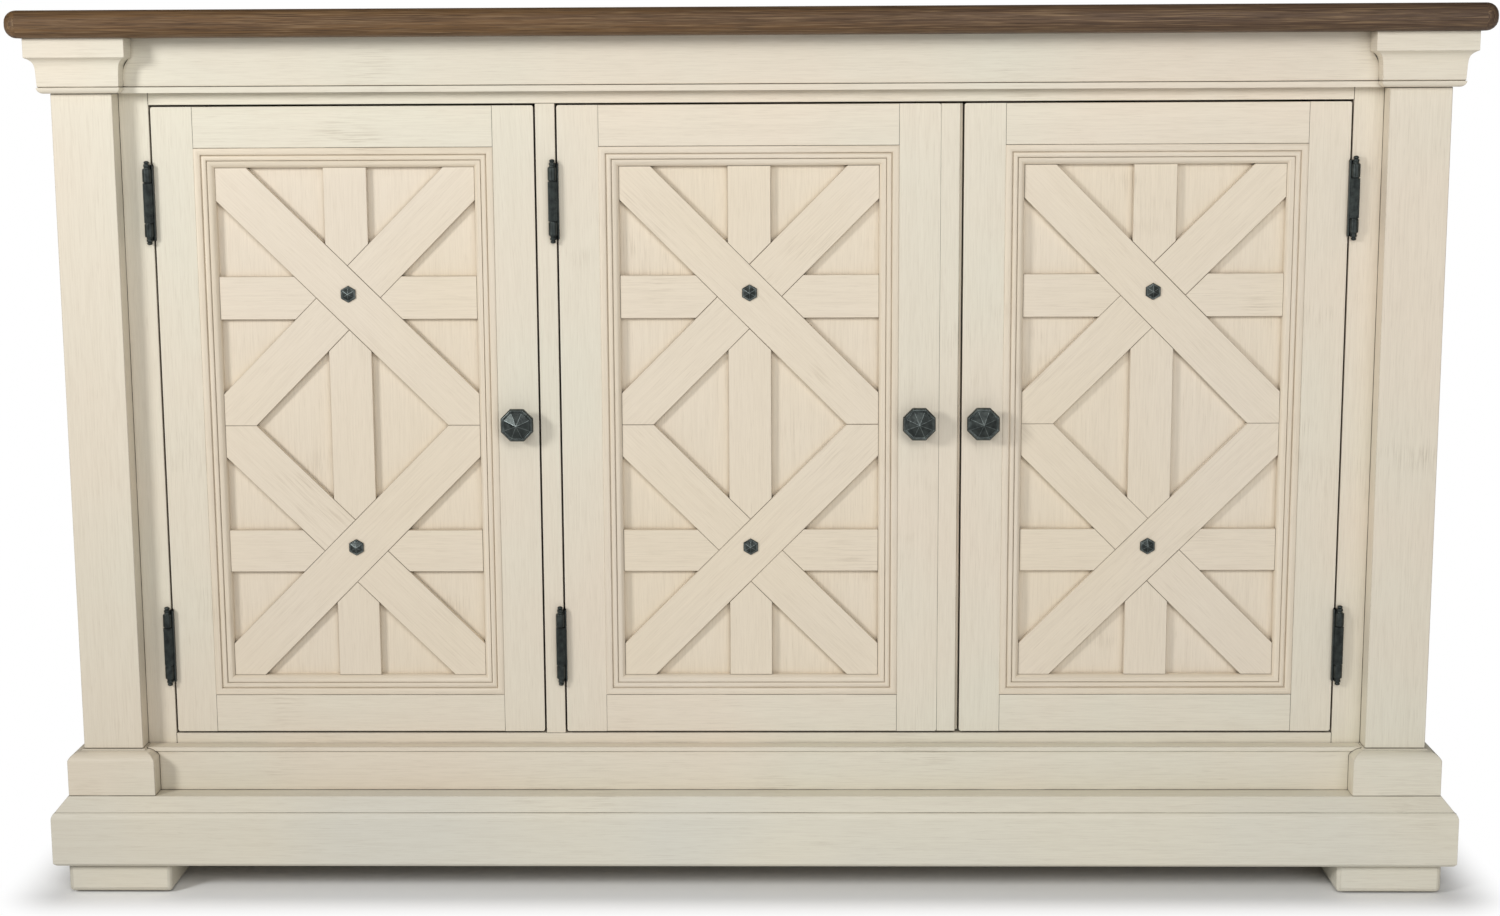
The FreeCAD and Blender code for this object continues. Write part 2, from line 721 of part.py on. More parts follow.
def make_moulding(name, left):
    """Four mitred lengths that lap the panel and stand a little proud of the frame."""
    w = d.moulding_width
    x = (left + d.stile_width, left + d.door_width - d.stile_width)
    z = (door_low + d.rail_low, door_high - d.rail_high)
    deep = (-(face_y + d.panel_depth), -(face_y - d.moulding_proud))
    inset = (x[0] + w, x[1] - w)
    low = wedge(x, (z[0], z[0] + w), inset, deep, TO_FRONT)
    high = wedge(inset, (z[1] - w, z[1]), x, deep, TO_FRONT)
    wide = (face_y - d.moulding_proud, face_y + d.panel_depth)
    inner = (z[0] + w, z[1] - w)
    first = wedge(z, (x[0], x[0] + w), inner, wide, X_TO_Z)
    last = wedge(inner, (x[1] - w, x[1]), z, wide, X_TO_Z)
    node(group(low, high, first, last), f"door_{name}_moulding")
    panel_y = (face_y + d.panel_depth, face_y + d.panel_depth + d.panel_thick)
    node(block(x, panel_y, z), f"door_{name}_panel")
    return (x[0] + w, x[1] - w), (z[0] + w, z[1] - w)


def diagonal(x, z, angle, depth):
    """A strap at 45 degrees through a point: angle 45 falls to the right, -45 rises."""
    strap = doc.addObject("Part::Box", "Diagonal")
    bind(strap, "Length", d.diagonal_length)
    bind(strap, "Width", depth[1] - depth[0])
    bind(strap, "Height", d.diagonal_width)
    strap.Placement = Placement(Vector(), Rotation(Vector(0, 1, 0), angle))
    slant = 0.5 ** 0.5
    falls = 1 if angle > 0 else -1
    shift_x = (d.diagonal_length + d.diagonal_width * falls) / 2 * slant
    shift_z = (d.diagonal_length * falls - d.diagonal_width) / 2 * slant
    place(strap, x - shift_x, depth[0], z + shift_z)
    return strap


def make_straps(name, inner_x, inner_z):
    """Two crosses of diagonal straps, with straight straps fitted between them."""
    depth = (face_y + d.panel_depth - d.strap_thick, face_y + d.panel_depth)
    centre = (inner_x[0] + inner_x[1]) / 2
    middle = (inner_z[0] + inner_z[1]) / 2
    half = (inner_x[1] - inner_x[0]) / 2
    pieces, crosses = [], []
    for lift, angle, limits in ((1, 45, (middle, inner_z[1])), (-1, -45, (inner_z[0], middle))):
        height = middle + half * lift
        room = block(inner_x, depth, limits)
        whole = diagonal(centre, height, angle, depth)
        split = diagonal(centre, height, -angle, depth)
        bore = rod(centre, depth[1] + d.overlap, height + d.stud_rise, d.stud_bore,
                   d.strap_thick + d.overlap * 2, TO_FRONT)
        pieces.append(cut(common(whole, room), bore))
        pieces.append(cut(common(split, room), whole))
        crosses += [whole, split]
    half_strap = d.strap_width / 2
    upright = block((centre - half_strap, centre + half_strap), depth, inner_z)
    pieces.append(cut(upright, fuse(*crosses)))
    for lift in (1, -1):
        height = middle + half * lift
        level = block(inner_x, depth, (height - half_strap, height + half_strap))
        pieces.append(cut(level, fuse(*crosses)))
    node(group(*pieces), f"door_{name}_straps")
    make_studs(name, centre, (middle + half, middle - half), depth)


def make_studs(name, x, heights, depth):
    studs = []
    for height in heights:
        z = height + d.stud_rise
        head = taper(x, depth[0], z, d.stud_radius, d.stud_radius / 2, d.stud_height, TO_FRONT)
        shank = rod(x, depth[1] - d.overlap, z, d.stud_shank, d.strap_thick, TO_FRONT)
        studs.append(fuse(head, shank))
    node(group(*studs), f"door_{name}_studs")


def knob_place(left, side):
    """X and Z of the knob, in the middle of the stile away from the hinges."""
    near = left + d.door_width - d.stile_width / 2
    if side < 0:
        near = left + d.stile_width / 2
    return near, door_low + d.knob_height


def octagon(x, y, z, radius):
    ring = doc.addObject("Part::RegularPolygon", "Octagon")
    ring.Polygon = KNOB_SIDES
    bind(ring, "Circumradius", radius)
    turn = Rotation(Vector(1, 0, 0), 90).multiply(Rotation(Vector(0, 0, 1), 180 / KNOB_SIDES))
    ring.Placement = Placement(Vector(), turn)
    place(ring, x, y, z)
    return ring


def make_knob(name, left, side):
    """An eight-sided knob on a turned neck, held by a screw from behind."""
    x, z = knob_place(left, side)
    tip = face_y - d.knob_reach
    stations = ((tip + d.knob_skirt, d.knob_neck), (tip + d.knob_back, d.knob_radius - d.knob_bevel),
                (tip + d.knob_front, d.knob_radius), (tip + d.knob_step, d.knob_inner),
                (tip, d.knob_tip))
    head = doc.addObject("Part::Loft", "Head")
    head.Sections = [octagon(x, y, z, radius) for y, radius in stations]
    head.Solid = True
    head.Ruled = True
    collar = taper(x, face_y, z, d.knob_collar, d.knob_collar - d.knob_bevel, d.collar_height,
                   TO_FRONT)
    neck = rod(x, face_y, z, d.knob_neck, d.knob_reach - d.knob_back, TO_FRONT)
    hole = rod(x, face_y + d.overlap, z, d.screw_bore, d.screw_grip + d.overlap * 3, TO_FRONT)
    knob = cut(fuse(head, collar, neck), hole)
    screw_end = frame_back + d.screw_head
    shank = rod(x, screw_end, z, d.screw_radius,
                d.frame_thick + d.screw_head + d.screw_grip, TO_FRONT)
    cap = rod(x, screw_end, z, d.screw_radius * 2, d.screw_head, TO_FRONT)
    node(group(knob, fuse(shank, cap)), f"door_{name}_knob")


def make_strike(name, left, side):
    x = catch_span(left, side)
    height = (d.opening_high - d.catch_drop, door_high - d.strike_drop)
    node(block(x, (frame_back, frame_back + d.strike_thick), height), f"door_{name}_strike")


def make_astragal(left):
    """The strip on the middle door that closes the gap between the pair."""
    edge = left + d.door_width
    height = (door_low, door_high)
    strip = block((edge, edge + d.astragal_width), (face_y, frame_back), height)
    lip = block((edge + d.astragal_width, edge + d.astragal_width + d.lip_width),
                (face_y + d.lip_setback, frame_back), height)
    node(fuse(strip, lip), "door_middle_astragal")


def make_doors():
    for name, left, side, edge in DOORS:
        make_door_frame(name, left, side)
        inner_x, inner_z = make_moulding(name, left)
        make_straps(name, inner_x, inner_z)
        make_knob(name, left, side)
        make_door_leaves(name, side, edge)
        make_strike(name, left, side)
    make_astragal(DOORS[1][1])


# ---------------------------------------------------------------- build and write

make_top()
corner_pieces = make_corners()
make_base()
make_boards(corner_pieces)
make_face_frame()
make_inside()
make_catches()
make_frame_leaves()
make_doors()
doc.recompute()

for thing in doc.Objects:
    if "Invalid" in thing.State or "Error" in thing.State:
        raise RuntimeError(f"{thing.Label} ({thing.Name}) failed: {thing.State}")
os.makedirs("parts", exist_ok=True)
for thing in NODES:
    if thing.Shape.isNull() or not thing.Shape.isValid():
        raise RuntimeError(f"{thing.Label} has no valid shape")
    thing.Shape.exportStep(f"parts/{thing.Label}.step")
    box = thing.Shape.BoundBox
    print(f"{thing.Label:28s} solids {len(thing.Shape.Solids):2d}  X {box.XMin:8.1f} {box.XMax:8.1f}"
          f"  Y {box.YMin:8.1f} {box.YMax:8.1f}  Z {box.ZMin:7.1f} {box.ZMax:7.1f}")
print(f"{len(NODES)} nodes written")
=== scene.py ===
# %% [markdown]
# # A painted sideboard with three doors
# The joiner's model of this sideboard is already made: every board, hinge and knob has its size and place.
# This lesson gives it its looks. Boards get eased edges and a brushed, glazed paint, the doors get their
# moulding, and the ironwork is modelled again with the facets and flutes that plain solids don't have.
# The first cell loads the model, and everything after it takes its sizes from there.

# %% Load the joiner's model
import json
import math
import random

import bmesh
import bpy
from mathutils import Matrix, Vector

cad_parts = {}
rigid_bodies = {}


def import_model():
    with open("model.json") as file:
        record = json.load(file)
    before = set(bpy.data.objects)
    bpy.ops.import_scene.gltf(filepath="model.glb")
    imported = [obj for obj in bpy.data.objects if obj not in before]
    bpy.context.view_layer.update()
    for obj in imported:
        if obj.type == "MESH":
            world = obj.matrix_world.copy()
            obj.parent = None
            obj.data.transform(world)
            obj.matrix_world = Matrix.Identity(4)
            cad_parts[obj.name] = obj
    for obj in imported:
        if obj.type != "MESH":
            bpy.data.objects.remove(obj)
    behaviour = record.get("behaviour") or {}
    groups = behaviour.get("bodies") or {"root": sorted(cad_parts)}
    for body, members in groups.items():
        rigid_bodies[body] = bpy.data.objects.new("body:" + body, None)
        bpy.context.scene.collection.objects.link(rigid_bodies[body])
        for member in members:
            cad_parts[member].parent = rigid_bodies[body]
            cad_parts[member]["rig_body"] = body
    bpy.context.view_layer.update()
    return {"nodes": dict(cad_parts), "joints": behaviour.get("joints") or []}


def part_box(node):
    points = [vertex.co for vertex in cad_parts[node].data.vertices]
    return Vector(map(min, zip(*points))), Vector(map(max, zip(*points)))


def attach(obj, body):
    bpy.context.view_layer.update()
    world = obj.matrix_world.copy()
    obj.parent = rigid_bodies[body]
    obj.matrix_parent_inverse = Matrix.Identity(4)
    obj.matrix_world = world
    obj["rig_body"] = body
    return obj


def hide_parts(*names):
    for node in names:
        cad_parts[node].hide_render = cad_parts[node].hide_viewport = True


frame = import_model()
MM = 0.001
DOORS = ("left", "middle", "right")
random.seed(7)

# %% [markdown]
# ## Shader maths that reads like Python
# A finish is a small calculation for every spot on the surface. Wiring Math nodes one by one hides that
# calculation, so a socket is wrapped in a class that knows plus, minus and times, and a finish gets one
# method that adds any other node: its kind, its settings, then what goes into its sockets.

# %% A socket that can be added and multiplied
class Value:
    """A node's output that Python expressions can use."""

    def __init__(self, finish, socket):
        self.finish = finish
        self.socket = socket

    def maths(self, operation, first, second):
        """Add one Math node and give back its result."""
        return self.finish.node("ShaderNodeMath", {"operation": operation}, {0: first, 1: second})

    def __add__(self, other):
        return self.maths("ADD", self, other)

    def __sub__(self, other):
        return self.maths("SUBTRACT", self, other)

    def __rsub__(self, other):
        return self.maths("SUBTRACT", other, self)

    def __mul__(self, other):
        return self.maths("MULTIPLY", self, other)

    __radd__ = __add__
    __rmul__ = __mul__


class Finish:
    """A material in the making."""

    def __init__(self, name):
        self.material = bpy.data.materials.new(name)
        self.material.use_nodes = True
        self.tree = self.material.node_tree
        self.shader = self.tree.nodes["Principled BSDF"]

    def feed(self, socket, content):
        """Link a value to a socket, or set the socket to a constant."""
        if isinstance(content, Value):
            self.tree.links.new(content.socket, socket)
        else:
            socket.default_value = content

    def node(self, kind, settings, sockets, out=0):
        """Add a node: its settings first, then the numbers or links of its sockets."""
        made = self.tree.nodes.new(kind)
        for field, setting in settings.items():
            setattr(made, field, setting)
        for key, content in sockets.items():
            self.feed(made.inputs[key], content)
        return Value(self, made.outputs[out])

    def place(self):
        """Where a spot lies on the sideboard, in metres."""
        return self.node("ShaderNodeTexCoord", {}, {}, "Object")

    def along(self, axis):
        """How far along one axis a spot lies."""
        return self.node("ShaderNodeSeparateXYZ", {}, {0: self.place()}, axis)

    def grain(self):
        """Where a spot lies on its own board: along, across, and which board."""
        return self.node("ShaderNodeAttribute", {"attribute_name": "grain"}, {}, "Vector")

    def stretch(self, place, scale):
        """A place with each of its coordinates multiplied."""
        return self.node("ShaderNodeVectorMath", {"operation": "MULTIPLY"}, {0: place, 1: scale})

    def cloud(self, place, scale, detail=2.0, roughness=0.5):
        """Noise from 0 to 1 that is stretched by a scale along each axis."""
        return self.node("ShaderNodeTexNoise", {}, {
            "Vector": self.stretch(place, scale), "Scale": 1.0,
            "Detail": detail, "Roughness": roughness})

    def between(self, amount, low, high, to_low=0.0, to_high=1.0):
        """Turn the range low to high into to_low to to_high, and hold it there."""
        return self.node("ShaderNodeMapRange", {}, {
            "Value": amount, "From Min": low, "From Max": high, "To Min": to_low, "To Max": to_high})

    def blend(self, amount, first, second):
        """A colour between two colours."""
        return self.node("ShaderNodeMix", {"data_type": "RGBA"}, {0: amount, 6: first, 7: second}, 2)

    def bump(self, height, strength, distance):
        """The tilt of the surface that a height makes."""
        return self.node("ShaderNodeBump", {}, {
            "Height": height, "Strength": strength, "Distance": distance})

    def surface(self, **sockets):
        """Feed the shader, with spaces in place of the underscores, and give back the material."""
        for name, content in sockets.items():
            self.feed(self.shader.inputs[name.replace("_", " ")], content)
        return self.material


def tint(red, green, blue):
    """A colour as a paint card names it, 0 to 255, turned into the light that it reflects."""
    shades = []
    for shade in (red, green, blue):
        share = shade / 255
        shades.append(share / 12.92 if share <= 0.04045 else ((share + 0.055) / 1.055) ** 2.4)
    return (*shades, 1.0)


print("cream reflects", [round(c, 2) for c in tint(232, 222, 200)])

# %% [markdown]
# ## The room
# Furniture is shown on a pale floor under large soft lamps, so that its shape reads from soft shading and
# small shadows. A plane is enough for the floor. A curved backdrop would hide the horizon, but a floor that
# fades to pure white does it with less. What is left of a spot's coordinates outside the footprint gives its
# distance from the base, and that distance mixes the paper with a white glow. Only the eye sees the full
# glow. Everything else sees a weaker one, or the floor would light the doors from below.

# %% A floor that fades to white
FLOOR_SIZE = 40.0
FOOTPRINT = (0.735, 0.225, 0)
SHADOW_FADES_OVER = 0.085
FLOOR_GLOW = 0.6

bpy.ops.object.select_all(action="DESELECT")
bpy.ops.mesh.primitive_plane_add(size=FLOOR_SIZE, location=(0, 0, 0))
floor = bpy.context.object
floor.name = "studio_floor"

paper = Finish("studio_paper")
paper.surface(Base_Color=(0.93, 0.93, 0.93, 1), Roughness=0.9, Specular_IOR_Level=0.1)
spot = paper.place()
spot = paper.node("ShaderNodeVectorMath", {"operation": "ABSOLUTE"}, {0: spot})
spot = paper.node("ShaderNodeVectorMath", {"operation": "SUBTRACT"}, {0: spot, 1: FOOTPRINT})
spot = paper.node("ShaderNodeVectorMath", {"operation": "MAXIMUM"}, {0: spot, 1: (0, 0, 0)})
distance = paper.node("ShaderNodeVectorMath", {"operation": "LENGTH"}, {0: spot}, "Value")
fade = paper.node("ShaderNodeMapRange", {"interpolation_type": "SMOOTHSTEP"}, {
    "Value": distance, "From Max": SHADOW_FADES_OVER})
eye = paper.node("ShaderNodeLightPath", {}, {}, "Is Camera Ray")
weak = paper.node("ShaderNodeEmission", {}, {"Strength": FLOOR_GLOW})
white = paper.node("ShaderNodeEmission", {}, {"Strength": 1.0})
glowing = paper.node("ShaderNodeMixShader", {}, {0: eye, 1: weak, 2: white})
matt = Value(paper, paper.shader.outputs[0])
whole = paper.node("ShaderNodeMixShader", {}, {0: fade, 1: matt, 2: glowing})
paper.feed(paper.tree.nodes["Material Output"].inputs["Surface"], whole)
floor.data.materials.append(paper.material)
print("floor", FLOOR_SIZE, "metres wide")

# %% [markdown]
# A key lamp low on the left draws the mouldings. A front lamp and a fill lamp on the right keep its shadows
# soft, and a weak lamp high up picks out the ledges. All four stand equally far from one point on the doors,
# so each is given by its turn to the right and its height.
# The surroundings add an even glow. The eye sees them white, and a Light Path node keeps them weaker as
# light, because a white room all round would wash out every shadow.

# %% Lamps and surroundings
LAMP_AIM = Vector((0, -0.2, 0.5))
LAMP_DISTANCE = 3.2
ROOM_GLOW = 0.12
WHITE = (1, 1, 1, 1)
LAMPS = (  # name, turn and height in degrees, size in metres, power in watts
    ("key_lamp", -50, 17, 0.6, 43), ("front_lamp", 5, 26, 1.2, 28.5),
    ("fill_lamp", 30, 12, 1.4, 15), ("high_lamp", -12, 52, 0.7, 5))


def aimed_lamp(name, turn, height, size, power):
    """A square soft lamp that points at the doors."""
    turn, height = math.radians(turn), math.radians(height)
    out = (math.sin(turn) * math.cos(height), -math.cos(turn) * math.cos(height), math.sin(height))
    place = LAMP_AIM + Vector(out) * LAMP_DISTANCE
    lamp = bpy.data.lights.new(name, "AREA")
    lamp.shape = "SQUARE"
    lamp.size = size
    lamp.energy = power
    holder = bpy.data.objects.new(name, lamp)
    holder.location = place
    holder.rotation_euler = (LAMP_AIM - place).to_track_quat("-Z", "Y").to_euler()
    bpy.context.scene.collection.objects.link(holder)


for lamp_row in LAMPS:
    aimed_lamp(*lamp_row)

room = bpy.data.worlds.new("white_room")
room.use_nodes = True
bpy.context.scene.world = room
room_nodes = room.node_tree.nodes
room_links = room.node_tree.links
glow = room_nodes["Background"]
glow.inputs["Color"].default_value = WHITE
glow.inputs["Strength"].default_value = ROOM_GLOW
backdrop = room_nodes.new("ShaderNodeBackground")
backdrop.inputs["Color"].default_value = WHITE
sight = room_nodes.new("ShaderNodeLightPath")
room_mix = room_nodes.new("ShaderNodeMixShader")
room_links.new(sight.outputs["Is Camera Ray"], room_mix.inputs[0])
room_links.new(glow.outputs[0], room_mix.inputs[1])
room_links.new(backdrop.outputs[0], room_mix.inputs[2])
room_links.new(room_mix.outputs[0], room_nodes["World Output"].inputs["Surface"])
bpy.context.scene.view_settings.view_transform = "Standard"
print(len(LAMPS), "lamps in a white room")

# %% [markdown]
# ## The camera
# The viewer stands almost square to the front, with the eye a little below the top, and looks slightly down.
# Lining up a camera by hand is slow, so its three turns are written down as pitch, yaw and roll, and the
# camera's axes are worked out from them.

# %% A camera at eye height
EYE = Vector((0.0423, -2.6493, 0.8741))
PITCH = math.radians(9.31)
YAW = math.radians(0.99)
ROLL = math.radians(-0.29)
SENSOR_WIDTH = 36
LENS_LENGTH = 56.31

ahead = Vector((-math.sin(YAW) * math.cos(PITCH), math.cos(YAW) * math.cos(PITCH), -math.sin(PITCH)))
level = Vector((math.cos(YAW), math.sin(YAW), 0))
above = level.cross(ahead)
to_right = level * math.cos(ROLL) + above * math.sin(ROLL)
upward = above * math.cos(ROLL) - level * math.sin(ROLL)
lens = bpy.data.cameras.new("camera")
lens.sensor_width = SENSOR_WIDTH
lens.lens = LENS_LENGTH
camera = bpy.data.objects.new("camera", lens)
camera.matrix_world = Matrix.Translation(EYE) @ Matrix((to_right, upward, -ahead)).transposed().to_4x4()
bpy.context.scene.collection.objects.link(camera)
bpy.context.scene.camera = camera
print("camera at", [round(c, 3) for c in camera.location])

# %% [markdown]
# ## The painted finish
# The cream paint is brushed on, rubbed back and glazed: a thin brown glaze is wiped over it and stays in the
# brush marks, the open grain and every inner corner. So the colour is built in layers: a cream that drifts
# between warm and cool, a painted shade low on the left, broad and fine streaks along the grain, dark pores,
# smudges, and glaze where an Ambient Occlusion node finds a corner, which is partly painted shade there.
# In the narrowest gaps, such as those round the doors, that painted shade goes nearly black.
# The streaks read an attribute called grain, which each board gets later: how far along and how far across
# the board a spot lies. One material then suits every board, whichever way it runs.
# The rounded edges of a board get the same paint with a short reach and a dark glaze. Where two boards meet,
# their edges see each other within that reach, and so every joint shows as a fine dark line.

# %% Brushed and glazed paint
CORNER_REACH = 5 * MM
JOINT_REACH = 1.5 * MM
JOINT_CLOSED = 0.68
JOINT_OPEN = 0.97
LOW_LEFT_PAINTED_SHADE = 0.2
FINE_GLAZE = 0.13
PORE_GLAZE = 0.14
SMUDGE_GLAZE = 0.22
DARK_GLAZE_AND_GAP_SHADE = tint(66, 56, 42)
BROWN_GLAZE_AND_SHADE = tint(138, 116, 86)


def painted(name, warm, cool, glaze, rub=0.0, reach=CORNER_REACH, filled=0.33,
            closed_at=0.35, open_at=0.92, gap_shade_and_joint_line=0.85):
    """Cream paint over grain. Rub is how much glaze shows all over, filled how much glaze and painted shade
    fill a corner, and gap_shade_and_joint_line how dark the narrowest gaps are painted: painted shade in the
    door gaps, a dark joint line on the arrises. A corner fills from closed_at, a narrow one, to open_at, a
    flat face."""
    paint = Finish(name)
    grain = paint.grain()
    place = paint.place()
    sideways = paint.along("X")
    height = paint.along("Z")
    drift = paint.between(paint.cloud(place, (3.5, 3.5, 3.5)), 0.36, 0.64)
    broad = paint.cloud(grain, (3, 130, 1), 3, 0.6)
    fine = paint.cloud(grain, (26, 680, 1), 3, 0.65)
    pores = paint.between(paint.cloud(grain, (45, 1300, 1), 2, 0.5), 0.60, 0.74)
    smudge = paint.between(paint.cloud(place, (9, 9, 14)), 0.62, 0.74)
    # Ambient occlusion finds the corners. Their darkening is partly glaze held in them and partly painted
    # shade.
    corner = paint.node("ShaderNodeAmbientOcclusion", {"samples": 8}, {"Distance": reach}, "AO")
    corner_glaze_and_shade = paint.between(corner, closed_at, open_at, 1.0, 0.0)
    # Painted shade: the lower left is darkened, where less light falls on it.
    painted_shade_low_left = paint.between(height, 0.85, 0.1) * paint.between(sideways, 0.0, -0.75)
    colour = paint.blend(drift, warm, cool)
    colour = paint.blend(painted_shade_low_left * LOW_LEFT_PAINTED_SHADE, colour, glaze)
    colour = paint.blend(paint.between(broad, 0.35, 0.75, 0.0, 0.04), colour, glaze)
    colour = paint.blend(paint.between(fine, 0.42, 0.78, 0.0, FINE_GLAZE), colour, glaze)
    colour = paint.blend(pores * PORE_GLAZE, colour, glaze)
    colour = paint.blend(smudge * paint.between(fine, 0.46, 0.66, 0.0, SMUDGE_GLAZE), colour, glaze)
    if rub:
        colour = paint.blend(paint.between(broad, 0.35, 0.65, rub * 0.2, rub), colour, BROWN_GLAZE_AND_SHADE)
    wiped = paint.between(paint.cloud(place, (14, 14, 14)), 0.38, 0.58, 0.35, 1.0)
    # Corner glaze and painted shade, wiped on unevenly.
    colour = paint.blend(corner_glaze_and_shade * wiped * filled, colour, glaze)
    # Painted shade: the narrowest gaps, such as those round the doors, are painted nearly black. On the
    # arrises this draws the dark joint lines.
    colour = paint.blend(paint.between(corner, 0.30, 0.12) * gap_shade_and_joint_line, colour, DARK_GLAZE_AND_GAP_SHADE)
    relief = fine * 0.7 - pores * 0.5
    return paint.surface(
        Base_Color=colour, Roughness=paint.between(fine, 0.3, 0.7, 0.42, 0.6),
        Normal=paint.bump(relief, 0.22, 0.3 * MM))


WARM_CREAM = tint(228, 216, 197)
COOL_CREAM = tint(225, 219, 201)
PEACH_CREAM = tint(228, 215, 193)
GREY_CREAM = tint(219, 216, 203)


def paint_and_arris(name, warm, cool, filled, rub):
    """A paint for the faces of a board and one for its arrises, where joints fill with dark glaze."""
    faces = painted(f"painted_{name}_finish", warm, cool, BROWN_GLAZE_AND_SHADE)
    arrises = painted(f"painted_{name}_arris", warm, cool, DARK_GLAZE_AND_GAP_SHADE, rub, JOINT_REACH, filled,
                      JOINT_CLOSED, JOINT_OPEN)
    return faces, arrises


frame_paint, frame_arris = paint_and_arris("frame", WARM_CREAM, COOL_CREAM, 1.8, 0.2)
panel_paint, panel_arris = paint_and_arris("panel", PEACH_CREAM, WARM_CREAM, 0.8, 0.55)
moulding_paint = painted("painted_moulding_finish", WARM_CREAM, PEACH_CREAM, BROWN_GLAZE_AND_SHADE, 0.05,
                         filled=0.2, gap_shade_and_joint_line=0.3)
base_paint, base_arris = paint_and_arris("base", GREY_CREAM, COOL_CREAM, 1.4, 0.25)
print("painted finishes:", frame_paint.name, panel_paint.name)

# %% [markdown]
# ## The stained top
# The top is a coarse-grained board with a dark brown stain that is rubbed back, so the hard grain lines stay
# light and greyish. The brown drifts from warm on the left to greyer on the right. Three streaked noises lie
# on it: broad dark bands, light lines, and the finest for the dark pores. It is satin, not glossy.

# %% Weathered brown stain
def stained(name):
    """Brown stain that is rubbed back over coarse grain."""
    stain = Finish(name)
    grain = stain.grain()
    place = stain.place()
    sideways = stain.along("X")
    drift = stain.between(sideways + stain.cloud(place, (2.0, 3.0, 3.0)) * 0.8, 0.1, 1.0)
    broad = stain.between(stain.cloud(grain, (6, 190, 1), 3, 0.6), 0.38, 0.72)
    lines = stain.between(stain.cloud(grain, (16, 760, 1), 3, 0.6), 0.50, 0.72)
    pores = stain.between(stain.cloud(grain, (28, 1300, 1), 1, 0.5), 0.56, 0.70)
    colour = stain.blend(drift, tint(108, 80, 50), tint(90, 70, 54))
    colour = stain.blend(broad * 0.75, colour, tint(62, 44, 30))
    colour = stain.blend(lines * 0.6, colour, tint(156, 128, 94))
    colour = stain.blend(pores * 0.5, colour, tint(38, 27, 19))
    relief = lines * 0.6 - pores
    return stain.surface(
        Base_Color=colour, Roughness=stain.between(broad, 0.0, 1.0, 0.46, 0.62), Specular_IOR_Level=0.3,
        Normal=stain.bump(relief, 0.5, 0.4 * MM))


top_stain = stained("stained_top_finish")
print("stained finish:", top_stain.name)

# %% [markdown]
# ## Plain inside boards
# The shelves, the floor and the back are faced with a light plain veneer under a matt lacquer. It uses the
# same grain attribute with softer streaks.

# %% Light veneer
def veneered(name):
    """Light veneer with soft streaks under matt lacquer."""
    veneer = Finish(name)
    grain = veneer.grain()
    broad = veneer.between(veneer.cloud(grain, (1.6, 45, 1), 3, 0.55), 0.35, 0.68)
    fine = veneer.between(veneer.cloud(grain, (9, 520, 1), 2, 0.6), 0.45, 0.75)
    colour = veneer.blend(broad, tint(196, 170, 135), tint(176, 146, 110))
    colour = veneer.blend(fine * 0.5, colour, tint(140, 110, 78))
    return veneer.surface(
        Base_Color=colour, Roughness=veneer.between(fine, 0.0, 1.0, 0.5, 0.62),
        Normal=veneer.bump(fine, 0.2, 0.2 * MM))


inner_veneer = veneered("inner_board_finish")
print("veneer:", inner_veneer.name)

# %% [markdown]
# ## Metal and small fittings
# The knobs, studs and hinges are cast iron with a black oiled coat: nearly black, a little green and satin,
# with a faint hammered surface. The ridges between the facets get a lighter grey metal, partly where hands
# and cloths rub the coat off and partly as a painted highlight. The shelf pins, screws and strikes are
# bright steel, and the catches and glides are moulded plastic with a fine texture.

# %% Iron, steel and plastic
def metal(name, dark, light, metallic, shine, dents):
    """A metal whose colour, gloss and surface vary a little in soft spots."""
    iron = Finish(name)
    place = iron.place()
    spots = iron.between(iron.cloud(place, (160, 160, 160), 3, 0.6), 0.35, 0.65)
    dimples = iron.cloud(place, (420, 420, 420), 1, 0.4)
    return iron.surface(
        Base_Color=iron.blend(spots, dark, light), Metallic=metallic,
        Roughness=iron.between(spots, 0.0, 1.0, shine, shine + 0.14),
        Normal=iron.bump(dimples, dents, 0.4 * MM))


def moulded(name, dark, light, shine):
    """A plastic with a fine spark-eroded texture."""
    plastic = Finish(name)
    place = plastic.place()
    mist = plastic.between(plastic.cloud(place, (60, 60, 60), 2, 0.5), 0.35, 0.65)
    spark = plastic.cloud(place, (1500, 1500, 1500), 1, 0.5)
    return plastic.surface(
        Base_Color=plastic.blend(mist, dark, light),
        Roughness=plastic.between(mist, 0.0, 1.0, shine, shine + 0.1),
        Normal=plastic.bump(spark, 0.25, 0.1 * MM))


black_iron = metal("black_iron_finish", tint(42, 47, 46), tint(64, 70, 68), 0.7, 0.30, 0.3)
# Lighter iron for the ridges: partly rub wear, partly a painted highlight.
worn_and_highlit_iron = metal("black_iron_arris", tint(84, 91, 90), tint(128, 136, 134), 0.85, 0.28, 0.2)
steel = metal("steel_finish", tint(150, 152, 154), tint(182, 184, 186), 1.0, 0.28, 0.1)
catch_plastic = moulded("catch_plastic_finish", tint(86, 64, 46), tint(98, 74, 54), 0.45)
glide_nylon = moulded("glide_nylon_finish", tint(205, 203, 196), tint(218, 216, 210), 0.5)
FINISHES = {
    "painted_wood": (frame_paint, frame_arris), "stained_top": (top_stain, top_stain),
    "inner_board": (inner_veneer, inner_veneer), "black_iron": (black_iron, worn_and_highlit_iron),
    "steel": (steel, steel), "catch_plastic": (catch_plastic, catch_plastic),
    "glide_nylon": (glide_nylon, glide_nylon),
}
print(len(FINISHES), "kinds of finish")

